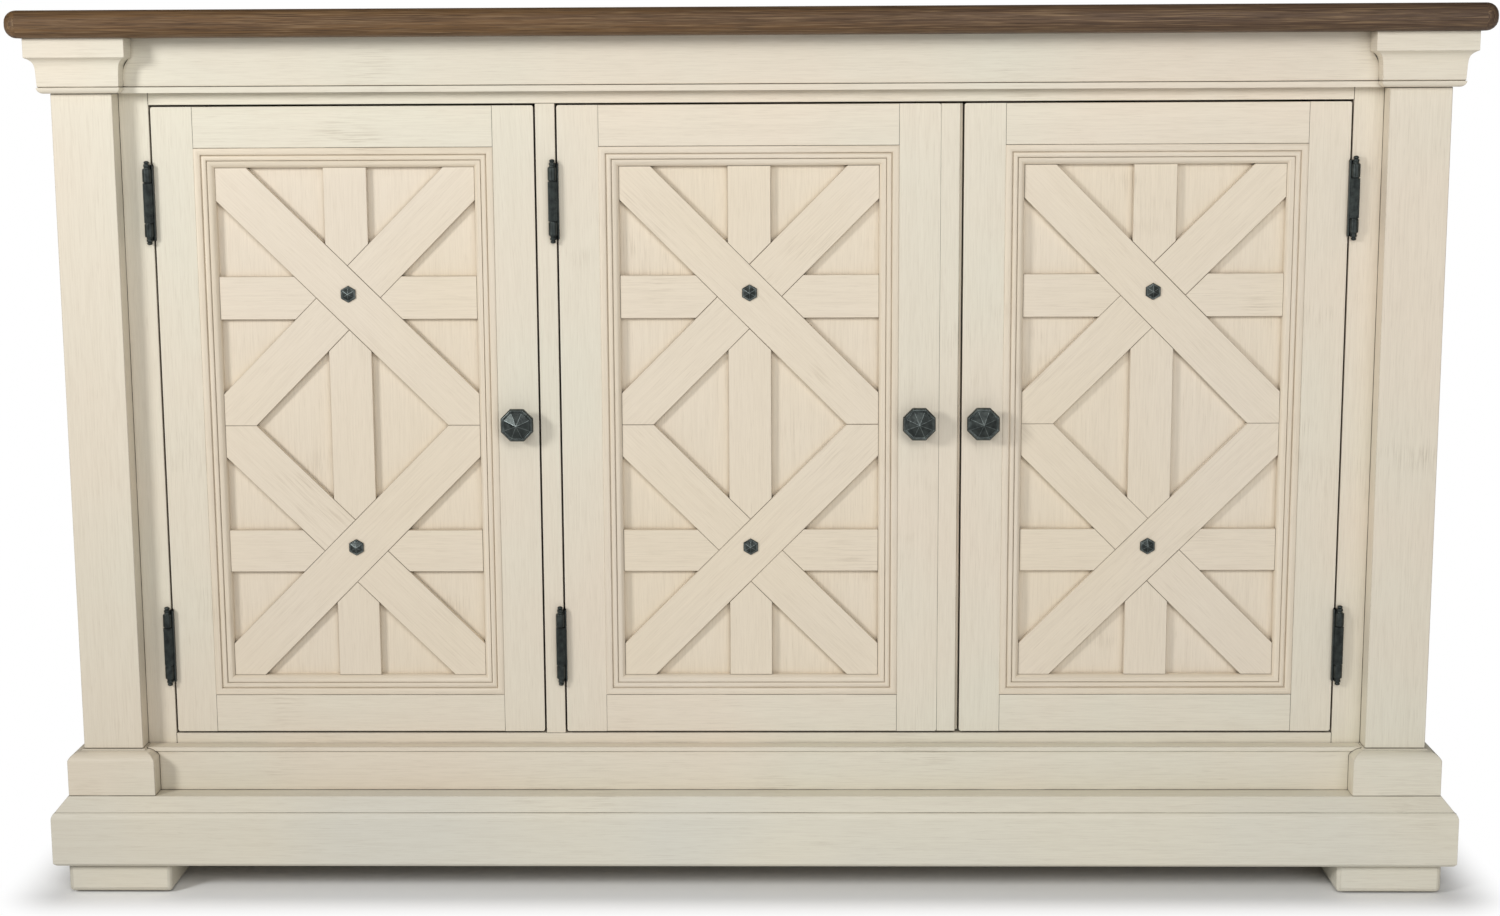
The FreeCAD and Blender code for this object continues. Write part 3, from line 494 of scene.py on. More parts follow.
# %% [markdown]
# ## Easing a board
# A real board never has a knife edge: it is eased with sandpaper, and that thin rounded edge is what catches
# the light. The joiner's boards have sharp edges, so each one is copied, its loose triangles are merged into
# clean faces, and a Bevel modifier rounds every edge. The bevel's faces take the second material: the worn
# arris on the paint, and on the iron a lighter metal that is partly wear and partly a painted highlight. The
# joiner's own boards stay as they are, and each copy stands for one of them.

# %% Copying a board and easing its edges
FLAT = math.radians(0.5)
ARRIS = math.radians(30)
SMOOTH_UP_TO = math.radians(50)
WELD = 0.01 * MM


def only(piece):
    """Leave one piece selected and active, so that an operator acts on nothing else."""
    bpy.ops.object.select_all(action="DESELECT")
    piece.select_set(True)
    bpy.context.view_layer.objects.active = piece


def edit():
    """Open the active piece's mesh for editing."""
    bpy.ops.object.mode_set(mode="EDIT")


def leave_edit():
    bpy.ops.object.mode_set(mode="OBJECT")


def apply_modifiers(piece):
    """Make what the modifiers show the piece's own mesh."""
    only(piece)
    for modifier in list(piece.modifiers):
        bpy.ops.object.modifier_apply(modifier=modifier.name)


def settle(piece, name):
    """Put the piece's place into its mesh, so that its own origin is the sideboard's."""
    only(piece)
    bpy.ops.object.transform_apply(location=True, rotation=True, scale=True)
    piece.name = name
    piece.data.name = name
    return piece


def copy_of(node, name):
    """A copy of a part's mesh as a new piece, merged and with flat faces joined up."""
    piece = bpy.data.objects.new(name, frame["nodes"][node].data.copy())
    bpy.context.scene.collection.objects.link(piece)
    piece.data.materials.clear()
    only(piece)
    edit()
    bpy.ops.mesh.select_all(action="SELECT")
    bpy.ops.mesh.remove_doubles(threshold=WELD)
    bpy.ops.mesh.dissolve_limited(angle_limit=FLAT)
    leave_edit()
    return piece


def pick_edges(test):
    """Select the edges of the piece in edit mode that pass a test, and no others."""
    bpy.ops.mesh.select_mode(type="EDGE")
    bpy.ops.mesh.select_all(action="DESELECT")
    mesh = bmesh.from_edit_mesh(bpy.context.object.data)
    for edge in mesh.edges:
        edge.select_set(test(edge))
    bmesh.update_edit_mesh(bpy.context.object.data)


def round_corners(piece, radius):
    """Round the outer corners of a pair of upright boards, seen from the front."""
    left = min(corner[0] for corner in piece.bound_box)
    right = max(corner[0] for corner in piece.bound_box)

    def outer_corner(edge):
        first, last = (vert.co for vert in edge.verts)
        outside = min(abs(first.x - left), abs(first.x - right)) < WELD
        return outside and abs(first.x - last.x) < WELD and abs(first.z - last.z) < WELD

    only(piece)
    edit()
    pick_edges(outer_corner)
    bpy.ops.mesh.bevel(offset=radius, segments=4, affect="EDGES")
    leave_edit()


def ease(piece, width, segments=2, sharper_than=ARRIS):
    """Round every sharp edge. The new faces take the piece's second material."""
    bevel = piece.modifiers.new("ease", "BEVEL")
    bevel.width = width
    bevel.segments = segments
    bevel.limit_method = "ANGLE"
    bevel.angle_limit = sharper_than
    bevel.material = 1
    apply_modifiers(piece)


def even_out(piece):
    """Smooth shading that keeps the large faces flat."""
    only(piece)
    bpy.ops.object.shade_smooth_by_angle(angle=SMOOTH_UP_TO)
    weights = piece.modifiers.new("weights", "WEIGHTED_NORMAL")
    weights.keep_sharp = True
    weights.weight = 100
    apply_modifiers(piece)


print("boards can be eased")

# %% [markdown]
# Each board also needs to know which way its grain runs. A sawn board's grain follows its length, so every
# face takes the direction of its longest edge as along, and the direction square to it as across. Each
# separate board gets its own random shift, so no two boards show the same streaks. A UV map could hold the
# two distances, but an attribute has room for a third number, which keeps the boards' streaks apart.

# %% Laying the grain
LEAN = Vector((1.0, 0.31, 2.0))
FARTHEST_SHIFT = 9


def islands(mesh):
    """Number the separate solids of a mesh, and give the number of each face."""
    numbers = {}
    count = 0
    for first in mesh.faces:
        if first in numbers:
            continue
        numbers[first] = count
        waiting = [first]
        while waiting:
            for edge in waiting.pop().edges:
                for other in edge.link_faces:
                    if other not in numbers:
                        numbers[other] = count
                        waiting.append(other)
        count += 1
    return numbers, count


def lay_grain(piece):
    """Write how far along, how far across and in which board each corner lies, in metres."""
    mesh = bmesh.new()
    mesh.from_mesh(piece.data)
    mesh.faces.ensure_lookup_table()
    numbers, count = islands(mesh)
    shifts = [(random.uniform(0, FARTHEST_SHIFT), random.uniform(0, FARTHEST_SHIFT)) for _ in range(count)]
    grain = mesh.loops.layers.float_vector.new("grain")
    for face in mesh.faces:
        longest = max(face.edges, key=lambda edge: edge.calc_length())
        along = (longest.verts[1].co - longest.verts[0].co).normalized()
        if along.dot(LEAN) < 0:
            along = -along
        across = face.normal.cross(along)
        shift, layer = shifts[numbers[face]]
        for loop in face.loops:
            spot = loop.vert.co
            loop[grain] = (spot.dot(along) + shift, spot.dot(across), layer)
    mesh.to_mesh(piece.data)
    mesh.free()
    return count


def finish_piece(piece, slot, body, nodes, finishes=None):
    """Give a piece its materials, its body and the parts that it stands for."""
    for index, finish in enumerate(finishes or FINISHES[slot]):
        if index < len(piece.data.materials):
            piece.data.materials[index] = finish
        else:
            piece.data.materials.append(finish)
    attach(piece, body)
    if nodes:
        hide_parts(*nodes)


def eased_board(node, width, segments=2, finishes=None, corner=0, carve=None):
    """The eased, grained and finished stand-in for one of the joiner's parts."""
    source = frame["nodes"][node]
    slot = source.material_slots[0].material.name
    piece = copy_of(node, node + "_eased")
    for finish in finishes or FINISHES[slot]:
        piece.data.materials.append(finish)
    if corner:
        round_corners(piece, corner)
    if carve:
        carve(piece)
    ease(piece, width, segments)
    boards = lay_grain(piece)
    even_out(piece)
    finish_piece(piece, slot, source["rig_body"], [node], finishes)
    print(f"{piece.name}: {boards} boards, {len(piece.data.polygons)} faces")
    return piece


print("grain can be laid")

# %% [markdown]
# ## The cabinet
# The posts, plinths and boards of the cabinet only need their edges eased, by a little less than a
# millimetre, and the blocks under the base are rounded over much more. Two details are still missing: a fine
# groove that runs along the friezes, the capitals and the base, and the quick turn of the front capitals'
# hollow under its band. Sculpting could make both, but not evenly. So Bisect slices the piece at the heights
# that matter, and the rings of corners that this adds are moved in or out by a measured amount.

# %% A scratched groove and a deeper hollow
CAPITAL_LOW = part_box("capital_left")[0].z
GROOVE_WIDTH = 1.6 * MM
NECK = (7 * MM, 10.2 * MM)
HOLLOW_END = (35 * MM, 17 * MM)
HOLLOW_TURN = 9
HOLLOW_LEAN = 1.4 * MM
CORNER_BOTH_WAYS = 1.2
HOLLOW_LEVELS = 14
LEVEL_SPREAD = 0.7
BEYOND_POST = 8 * MM
SCRATCH_DEPTH = 1.2 * MM
BEAD_LINE = CAPITAL_LOW + 6.2 * MM
NOSE_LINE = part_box("base_front")[1].z - 14.8 * MM
POSTS = {"capital_left": "post_left", "capital_right": "post_right"}


def slice_level(piece, heights):
    """Add an edge all round a piece at each height."""
    only(piece)
    edit()
    for height in heights:
        bpy.ops.mesh.select_all(action="SELECT")
        bpy.ops.mesh.bisect(plane_co=(0, 0, height), plane_no=(0, 0, 1))
    leave_edit()


def scratch(piece, height):
    """Sink a fine groove into the upright faces of a piece at a height. A corner sinks both ways at once."""
    slice_level(piece, [height - GROOVE_WIDTH / 2, height, height + GROOVE_WIDTH / 2])
    mesh = bmesh.new()
    mesh.from_mesh(piece.data)
    mesh.normal_update()
    for vert in mesh.verts:
        if abs(vert.co.z - height) < WELD:
            facing = vert.normal.to_2d().normalized() * CORNER_BOTH_WAYS
            vert.co.x -= round(facing.x) * SCRATCH_DEPTH
            vert.co.y -= round(facing.y) * SCRATCH_DEPTH
    mesh.to_mesh(piece.data)
    mesh.free()


def capital_reach(height):
    """How far the hollow of a capital stands out from the post, at a height above its bottom."""
    share = (height - NECK[0]) / (HOLLOW_END[0] - NECK[0])
    turned = (HOLLOW_END[1] - NECK[1] - HOLLOW_LEAN) * share ** HOLLOW_TURN
    return NECK[1] + HOLLOW_LEAN * share + turned


def deepen_hollow(piece, post):
    """Give the capital's hollow its quick turn under the band."""
    low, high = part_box(post)
    shares = [(level / HOLLOW_LEVELS) ** LEVEL_SPREAD for level in range(HOLLOW_LEVELS + 1)]
    slice_level(piece, [CAPITAL_LOW + (NECK[0] + (HOLLOW_END[0] - NECK[0]) * share) for share in shares])
    mesh = bmesh.new()
    mesh.from_mesh(piece.data)
    for vert in mesh.verts:
        height = vert.co.z - CAPITAL_LOW
        if not NECK[0] - WELD <= height <= HOLLOW_END[0] + WELD:
            continue
        reach = capital_reach(height)
        spot = vert.co
        if spot.x < low.x - BEYOND_POST:
            spot.x = low.x - reach
        if spot.x > high.x + BEYOND_POST:
            spot.x = high.x + reach
        if spot.y < low.y - BEYOND_POST:
            spot.y = low.y - reach
    mesh.to_mesh(piece.data)
    mesh.free()


def carve_capital(piece, post):
    """The quick turn and the groove of a front capital."""
    deepen_hollow(piece, post)
    scratch(piece, BEAD_LINE)


print("grooves at heights", round(NOSE_LINE, 4), round(BEAD_LINE, 4))

# %% Posts, mouldings and boards of the cabinet
CRISP = 0.6 * MM
EASED = 0.9 * MM
FOOT_ROUND = 5 * MM
FOOT_SEGMENTS = 5

for node in ("post_left", "post_right", "rear_posts", "plinth_left", "plinth_right", "rear_plinths",
             "side_panels"):
    eased_board(node, EASED)
for node in ("base_front", "base_sides"):
    eased_board(node, EASED, finishes=(base_paint, base_arris),
                carve=lambda piece: scratch(piece, NOSE_LINE))
for node, post in POSTS.items():
    eased_board(node, CRISP, carve=lambda piece: carve_capital(piece, post))
for node in ("rear_capitals", "frieze_front", "side_friezes"):
    eased_board(node, CRISP, carve=lambda piece: scratch(piece, BEAD_LINE))
for node in ("apron_front", "side_aprons", "face_stiles", "face_rails", "face_mullion"):
    eased_board(node, CRISP)
eased_board("feet", FOOT_ROUND, FOOT_SEGMENTS, (base_paint, base_arris))

# %% The inside of the cabinet
for node in ("cabinet_floor", "partition", "shelves", "back_panel", "rear_rails", "top_cleats"):
    eased_board(node, CRISP)

# %% [markdown]
# ## The top
# The top already has its rounded nose. Merged and smoothed, it only needs its grain and its stain.

# %% The stained top
eased_board("top_slab", CRISP)

# %% [markdown]
# ## The doors' frames
# Stiles run the full height and the rails fit between them. The eased edges leave a fine V at each joint,
# where glaze gathers, and that line is what tells the eye how the door is made. The panel and the straps
# that cross it get a slightly warmer paint.

# %% Stiles, rails and panels
DOOR_CORNER = 2.2 * MM

for door in DOORS:
    eased_board(f"door_{door}_stiles", CRISP, corner=DOOR_CORNER)
    eased_board(f"door_{door}_rails", CRISP)
    eased_board(f"door_{door}_panel", CRISP, finishes=(panel_paint, panel_arris))
eased_board("door_middle_astragal", CRISP)

# %% [markdown]
# ## The straps
# Two crosses of flat straps lie on each panel. In each cross one strap runs through, the other is sawn in
# two against it, and short straight straps are fitted into the angles with pointed ends. Each strap is a
# board that is turned about a point and then sawn off, and Bisect is the saw: it takes a point on the saw
# line and the direction of the waste. So one function makes all thirteen straps from their saw cuts.

# %% A strap and its saw cuts
STRAP_WIDTH = 45.5 * MM
DIAGONAL_WIDTH = 48 * MM
LONG_ENOUGH = 700 * MM
RIGHT = Vector((1, 0, 0))
UP = Vector((0, 0, 1))
RISING = (RIGHT + UP).normalized()
FALLING = (RIGHT - UP).normalized()


def saw_strap(middle, width, thick, turn, cuts):
    """A long board through a point, turned in the panel's plane and sawn off at each cut."""
    bpy.ops.object.select_all(action="DESELECT")
    bpy.ops.mesh.primitive_cube_add(size=1, location=middle, rotation=(0, math.radians(turn), 0))
    strap = bpy.context.object
    strap.scale = (LONG_ENOUGH, thick, width)
    settle(strap, "strap")
    edit()
    for point, waste in cuts:
        bpy.ops.mesh.select_all(action="SELECT")
        bpy.ops.mesh.bisect(plane_co=point, plane_no=waste, use_fill=True, clear_outer=True)
    leave_edit()
    return strap


def clear_of(crossing, direction):
    """The saw cut that keeps what lies beyond a diagonal strap, on the side that a direction points to."""
    return crossing + direction * (DIAGONAL_WIDTH / 2), -direction


def make_straps(door):
    """Saw the thirteen straps of a door and join them into one piece."""
    node = f"door_{door}_straps"
    low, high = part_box(node)
    middle = (low + high) / 2
    thick = high.y - low.y
    half = RIGHT * (high.x - low.x) / 2
    edges = [(low, -RIGHT), (high, RIGHT), (low, -UP), (high, UP)]
    upper, lower = middle + UP * half.x, middle - UP * half.x
    straps = []
    for crossing, through, turn, inner in ((upper, FALLING, 45, -UP), (lower, RISING, -45, UP)):
        square = through.cross(Vector((0, 1, 0)))
        room = edges + [(middle, inner)]
        straps.append(saw_strap(crossing, DIAGONAL_WIDTH, thick, turn, room))
        for side in (square, -square):
            cuts = room + [clear_of(crossing, side)]
            straps.append(saw_strap(crossing, DIAGONAL_WIDTH, thick, -turn, cuts))
        for side in (RIGHT, -RIGHT):
            corners = [clear_of(crossing, (side + way).normalized()) for way in (UP, -UP)]
            straps.append(saw_strap(crossing, STRAP_WIDTH, thick, 0, edges + corners))
    above = [clear_of(upper, RISING), clear_of(upper, -FALLING)]
    between = [clear_of(upper, -RISING), clear_of(upper, FALLING),
               clear_of(lower, RISING), clear_of(lower, -FALLING)]
    below = [clear_of(lower, -RISING), clear_of(lower, FALLING)]
    for cuts in (above, between, below):
        straps.append(saw_strap(middle, STRAP_WIDTH, thick, 90, edges + cuts))
    only(straps[0])
    for strap in straps[1:]:
        strap.select_set(True)
    bpy.ops.object.join()
    piece = bpy.context.object
    piece.name = node + "_sawn"
    for finish in (panel_paint, panel_arris):
        piece.data.materials.append(finish)
    ease(piece, CRISP)
    lay_grain(piece)
    even_out(piece)
    finish_piece(piece, "painted_wood", f"door_{door}", [node], (panel_paint, panel_arris))
    print(piece.name, len(straps), "straps")


for door in DOORS:
    make_straps(door)

# %% [markdown]
# ## The moulding round each panel
# A moulding is one profile that runs round a frame with mitred corners. Insetting a rectangle gives exactly
# that: each inset ring keeps the mitres, and moving the inner face forward or back before the next inset
# draws the profile. The profile is a rounded band, a groove, a bead, a groove, and a hollow that drops to
# the panel. The round stretches are half waves, so a short function gives the height at any place, here in
# millimetres. A profile curve swept round the frame would do as well, but its corners are harder to mitre.

# %% The profile
BAND = (0.0, 7.0)
BEAD = (8.0, 12.8)
HOLLOW = (13.8, 20.5)
BAND_RISE = 1.5
BEAD_FOOT = -0.9
BEAD_RISE = 1.1
CROWN = 0.6
GROOVES = ((7.4, -1.7), (13.3, -2.7))
GROOVE_HALF = 0.15
HOLLOW_TOP = -1.3
HOLLOW_SHOULDER = 1.0
HOLLOW_DROP = 4.0
HOLLOW_CURVE = 2.2


def swell(place, span):
    """A full half wave across a span, with a broad crown."""
    share = (place - span[0]) / (span[1] - span[0])
    return math.sin(math.pi * min(max(share, 0), 1)) ** CROWN


def profile_height(place):
    """How far the moulding stands in front of the frame, at a distance in from its outer edge."""
    if place <= BAND[1]:
        return BAND_RISE * swell(place, BAND)
    if BEAD[0] <= place <= BEAD[1]:
        return BEAD_FOOT + BEAD_RISE * swell(place, BEAD)
    if place >= HOLLOW[0]:
        share = (place - HOLLOW[0]) / (HOLLOW[1] - HOLLOW[0])
        shoulder = HOLLOW_SHOULDER * (1 - swell(0.5 + share / 2, (0, 1)))
        return HOLLOW_TOP - shoulder - HOLLOW_DROP * share ** HOLLOW_CURVE
    return min(GROOVES, key=lambda groove: abs(place - groove[0]))[1]


def stations():
    """Distances in from the outer edge where the profile needs a point, closer together where it turns."""
    found = []
    for span, parts in ((BAND, 10), (BEAD, 8), (HOLLOW, 8)):
        for part in range(parts + 1):
            share = (1 - math.cos(math.pi * part / parts)) / 2
            found.append(span[0] + (span[1] - span[0]) * share)
    for middle, depth in GROOVES:
        found += [middle - GROOVE_HALF, middle + GROOVE_HALF]
    return sorted(found)


print(len(stations()), "points across the moulding")

# %% A moulding from rings of insets
PROFILE_SMOOTH = math.radians(40)


def pick_faces(test):
    """Select the faces of the piece in edit mode whose centre and normal pass a test, and no others."""
    bpy.ops.mesh.select_mode(type="FACE")
    bpy.ops.mesh.select_all(action="DESELECT")
    mesh = bmesh.from_edit_mesh(bpy.context.object.data)
    for face in mesh.faces:
        face.select_set(test(face.calc_center_median(), face.normal))
    mesh.select_flush_mode()
    bmesh.update_edit_mesh(bpy.context.object.data)


def move(x=0.0, y=0.0, z=0.0):
    """Move what is selected in edit mode."""
    bpy.ops.transform.translate(value=(x, y, z))


def extrude(y=0.0, z=0.0):
    """Draw the selected faces out backwards or upwards."""
    bpy.ops.mesh.extrude_region_move(TRANSFORM_OT_translate={"value": (0, y, z)})


def make_moulding(door):
    """Inset a rectangle ring by ring along the profile, then close it with a flat back."""
    node = f"door_{door}_moulding"
    low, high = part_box(node)
    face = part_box(f"door_{door}_rails")[0].y
    middle = (low + high) / 2
    bpy.ops.object.select_all(action="DESELECT")
    bpy.ops.mesh.primitive_plane_add(
        size=1, location=(middle.x, face, middle.z), rotation=(math.pi / 2, 0, 0))
    piece = bpy.context.object
    piece.scale = (high.x - low.x, high.z - low.z, 1)
    settle(piece, node + "_run")
    edit()
    bpy.ops.mesh.select_mode(type="FACE")
    bpy.ops.mesh.select_all(action="SELECT")
    place, height = 0.0, 0.0
    for station in stations()[1:]:
        rise = profile_height(station) - height
        if station > place:
            bpy.ops.mesh.inset(thickness=(station - place) * MM, depth=0)
        move(y=-rise * MM)
        place, height = station, height + rise
    depth = high.y - face
    extrude(depth + height * MM)
    bpy.ops.mesh.delete(type="FACE")
    pick_edges(lambda edge: edge.is_boundary and abs(edge.verts[0].co.y - face) < WELD)
    bpy.ops.mesh.extrude_edges_move(TRANSFORM_OT_translate={"value": (0, depth, 0)})
    pick_edges(lambda edge: edge.is_boundary)
    bpy.ops.mesh.bridge_edge_loops()
    bpy.ops.mesh.select_all(action="SELECT")
    bpy.ops.mesh.normals_make_consistent(inside=False)
    leave_edit()
    lay_grain(piece)
    only(piece)
    bpy.ops.object.shade_smooth_by_angle(angle=PROFILE_SMOOTH)
    finish_piece(piece, "painted_wood", f"door_{door}", [node], (moulding_paint,))
    print(piece.name, len(piece.data.polygons), "faces")


for door in DOORS:
    make_moulding(door)

# %% [markdown]
# ## The studs
# Each crossing of the straps carries a six-sided forged stud: a low skirt with a small step, and a pyramid
# of six facets. A six-sided cylinder is the start. Its front face is inset and moved forward for every step,
# and Poke raises the last face to a point. It is modelled once at the origin, facing forward, and copied.

# %% A forged stud and its copies
STUD_RADIUS = 9 * MM
STUD_SKIRT = 1.2 * MM
STUD_STEPS = ((0.9, 0.8), (0.5, -0.3), (0.4, 0.6))  # inward and forward, in millimetres
STUD_POINT = 2.9 * MM
STUD_ARRIS = 0.22 * MM
FACET = math.radians(10)
FACING = 0.9


def start_prism(sides, radius, front, back):
    """A prism round the line through the origin that runs front to back, with a flat side up."""
    bpy.ops.object.select_all(action="DESELECT")
    bpy.ops.mesh.primitive_cylinder_add(
        vertices=sides, radius=radius, depth=back - front, location=(0, (front + back) / 2, 0),
        rotation=(math.pi / 2, math.pi / sides, 0))
    return settle(bpy.context.object, "prism")


def step_in(inward, forward):
    """Inset the selected faces, then move what is inside."""
    if inward:
        bpy.ops.mesh.inset(thickness=inward * MM, depth=0)
    move(y=-forward * MM)


def copy_to(model, name, place):
    """A copy of a model with its own mesh, moved to its place."""
    piece = bpy.data.objects.new(name, model.data.copy())
    bpy.context.scene.collection.objects.link(piece)
    piece.data.transform(Matrix.Translation(place))
    return piece


def discard(model):
    """Remove a model once its copies are in place."""
    bpy.data.objects.remove(model, do_unlink=True)


def facet_edges(model, width):
    """Round the ridges between facets and give them the lighter iron: partly rub wear, partly a painted
    highlight.
    """
    for finish in FINISHES["black_iron"]:
        model.data.materials.append(finish)
    ease(model, width, sharper_than=FACET)
    even_out(model)


stud = start_prism(6, STUD_RADIUS, -STUD_SKIRT, 0)
stud.data.transform(Matrix.Rotation(math.pi / 6, 4, "Y"))
edit()
pick_faces(lambda centre, normal: normal.y < -FACING)
for inward, forward in STUD_STEPS:
    step_in(inward, forward)
bpy.ops.mesh.poke(offset=STUD_POINT)
leave_edit()
facet_edges(stud, STUD_ARRIS)
for door in DOORS:
    low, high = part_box(f"door_{door}_studs")
    strap_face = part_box(f"door_{door}_straps")[0].y
    reach = frame["nodes"][f"door_{door}_studs"].dimensions.x / 2
    for level, height in (("upper", high.z - reach), ("lower", low.z + reach)):
        piece = copy_to(stud, f"door_{door}_stud_{level}", ((low.x + high.x) / 2, strap_face, height))
        finish_piece(piece, "black_iron", f"door_{door}", [f"door_{door}_studs"])
discard(stud)
print("six studs")

# %% [markdown]
# ## The knobs
# The knobs repeat the studs' facets with eight sides: a bevelled rim, a groove, and an eight-sided pyramid,
# on a short turned neck with a round collar against the door. Head, neck and collar come from one prism:
# its front face is worked like the stud's, and its back face is inset and pushed back for the neck. The
# collar is a short cylinder with its front edge bevelled, and a pan-head screw holds it all from behind.

# %% An eight-sided knob
KNOB_RADIUS = 18.6 * MM
KNOB_STEPS = ((1.3, 2.0), (1.0, 0.3), (0.7, -0.8), (0.4, 0.2), (0.4, 1.0))  # inward and forward, in mm
KNOB_BACK_STEPS = ((3.5, -1.6), (4.5, -1.6))
KNOB_BACK_DEPTH = 3.2 * MM
NECK_INSET = 4.4 * MM
POINT_BACK = 2.7 * MM
KNOB_ARRIS = 0.28 * MM
COLLAR_STEPS = ((0.8, 0.5), (1.6, 0.2), (0.8, -0.4))
COLLAR_RADIUS = 9 * MM
COLLAR_DEPTH = 3 * MM
RIM_BACK = 12 * MM
RIM_FRONT = 8.6 * MM
SCREW_RADIUS = 4 * MM
SCREW_RIM = 1.2 * MM
SCREW_SIDES = 32
SCREW_STEPS = ((0.5, -0.45), (0.7, -0.25), (1.0, -0.1), (0.3, 0))
SOCKET_DEPTH = 1.0 * MM
SCREW_SMOOTH = math.radians(35)


def start_round(radius, front, back, sides=40):
    """A round bar on the line through the origin that runs front to back."""
    bpy.ops.object.select_all(action="DESELECT")
    bpy.ops.mesh.primitive_cylinder_add(
        vertices=sides, radius=radius, depth=back - front, location=(0, (front + back) / 2, 0),
        rotation=(math.pi / 2, 0, 0))
    return settle(bpy.context.object, "bar")


def knob_model(reach):
    """A knob whose tip is at the origin and whose collar ends a reach behind it."""
    knob = start_prism(8, KNOB_RADIUS, RIM_FRONT, RIM_BACK)
    edit()
    pick_faces(lambda centre, normal: normal.y < -FACING)
    for inward, forward in KNOB_STEPS:
        step_in(inward, forward)
    bpy.ops.mesh.poke(offset=RIM_FRONT - POINT_BACK)
    pick_faces(lambda centre, normal: normal.y > FACING)
    for inward, forward in KNOB_BACK_STEPS:
        step_in(inward, forward)
    bpy.ops.mesh.inset(thickness=NECK_INSET, depth=0)
    extrude(reach - RIM_BACK - KNOB_BACK_DEPTH)
    leave_edit()
    collar = start_round(COLLAR_RADIUS, reach - COLLAR_DEPTH, reach)
    edit()
    pick_faces(lambda centre, normal: normal.y < -FACING)
    for inward, forward in COLLAR_STEPS:
        step_in(inward, forward)
    leave_edit()
    only(knob)
    collar.select_set(True)
    bpy.ops.object.join()
    facet_edges(knob, KNOB_ARRIS)
    return knob


def screw_model():
    """A pan-head screw's head, at the origin and facing back, with a round socket."""
    head = start_round(SCREW_RADIUS, 0, SCREW_RIM, SCREW_SIDES)
    edit()
    pick_faces(lambda centre, normal: normal.y > FACING)
    for inward, forward in SCREW_STEPS:
        step_in(inward, forward)
    extrude(-SOCKET_DEPTH)
    leave_edit()
    only(head)
    bpy.ops.object.shade_smooth_by_angle(angle=SCREW_SMOOTH)
    return head


door_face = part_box("door_left_stiles")[0].y
door_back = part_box("door_left_stiles")[1].y
knob_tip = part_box("door_left_knob")[0].y
knob = knob_model(door_face - knob_tip)
screw = screw_model()
for door in DOORS:
    low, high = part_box(f"door_{door}_knob")
    place = Vector(((low.x + high.x) / 2, knob_tip, (low.z + high.z) / 2))
    piece = copy_to(knob, f"door_{door}_knob_cast", place)
    finish_piece(piece, "black_iron", f"door_{door}", [f"door_{door}_knob"])
    place.y = door_back
    piece = copy_to(screw, f"door_{door}_knob_screw", place)
    finish_piece(piece, "steel", f"door_{door}", [])
discard(knob)
discard(screw)
print("three knobs and their screws")

# %% [markdown]
# ## The hinges
# Each door hangs on two butt hinges with a proud barrel. The long middle knuckle belongs to the door and is
# fluted. The short knuckles above and below belong to the frame: a thin neck, a plain barrel and two turned
# steps, with the ball of the pin beyond them. Each part of a hinge is modelled once round the origin and
# copied to its places. The flutes are faces inset one by one and pushed in, the turned steps are extruded
# and resized, and the balls are a small profile spun round the pin.

# %% Knuckles, pins and leaves
BARREL_RADIUS = 4.75 * MM
MIDDLE_LENGTH = 41.4 * MM
END_LENGTH = 18.5 * MM
KNUCKLE_GAP = 0.3 * MM
PIN_RADIUS = 2.4 * MM
LEAF_THICK = 1.5 * MM
LEAF_DEPTH = 18 * MM
LEAF_INSET = 1.2 * MM
LEAF_CORNER = 3 * MM
DOOR_GAP = 2 * MM
HINGE_ARRIS = 0.12 * MM
BARREL_SIDES = 24
FLUTE_LAND = 0.22 * MM
FLUTE_SLOPE = 0.12 * MM
FLUTE_DEPTH = 0.35 * MM
NECK_RADIUS = 3.9 * MM
NECK_LENGTH = 0.9 * MM
KNUCKLE_STEPS = ((0.1, 1.2), (12.9, 1.0), (0.6, 0.93), (0.3, 0.72), (0.9, 1.0), (0.4, 0.86), (0.6, 1.0),
                 (0.4, 1.2), (2.0, 1.0), (0.3, 0.86))
BALL_RADIUS = 2.9 * MM
BALL_HEIGHT = 1.9 * MM
BALL_TOP = 4.5 * MM
PIN_WAIST = 0.6 * MM


def upright_bar(radius, low, high, sides=BARREL_SIDES):
    """A round bar on the pin's line, from one height to another."""
    bpy.ops.object.select_all(action="DESELECT")
    bpy.ops.mesh.primitive_cylinder_add(
        vertices=sides, radius=radius, depth=high - low, location=(0, 0, (low + high) / 2))
    return settle(bpy.context.object, "upright_bar")


def fluted_knuckle():
    """The door's knuckle: a barrel with a flute in each of its sides."""
    barrel = upright_bar(BARREL_RADIUS, -MIDDLE_LENGTH / 2, MIDDLE_LENGTH / 2)
    edit()
    pick_faces(lambda centre, normal: abs(normal.z) < 0.1)
    bpy.ops.mesh.inset(thickness=FLUTE_LAND, depth=0, use_individual=True)
    bpy.ops.mesh.inset(thickness=FLUTE_SLOPE, depth=-FLUTE_DEPTH, use_individual=True)
    leave_edit()
    return barrel


def end_knuckle(up):
    """A frame knuckle above (up is 1) or below (up is -1) the middle one, with its turned steps."""
    near = up * (MIDDLE_LENGTH / 2 + KNUCKLE_GAP)
    far = near + up * END_LENGTH
    barrel = upright_bar(NECK_RADIUS, min(near, far), max(near, far))
    edit()
    pick_faces(lambda centre, normal: normal.z * up > FACING)
    move(z=up * NECK_LENGTH - up * END_LENGTH)
    for height, size in KNUCKLE_STEPS:
        extrude(z=up * height * MM)
        bpy.ops.transform.resize(value=(size, size, 1))
    leave_edit()
    return barrel


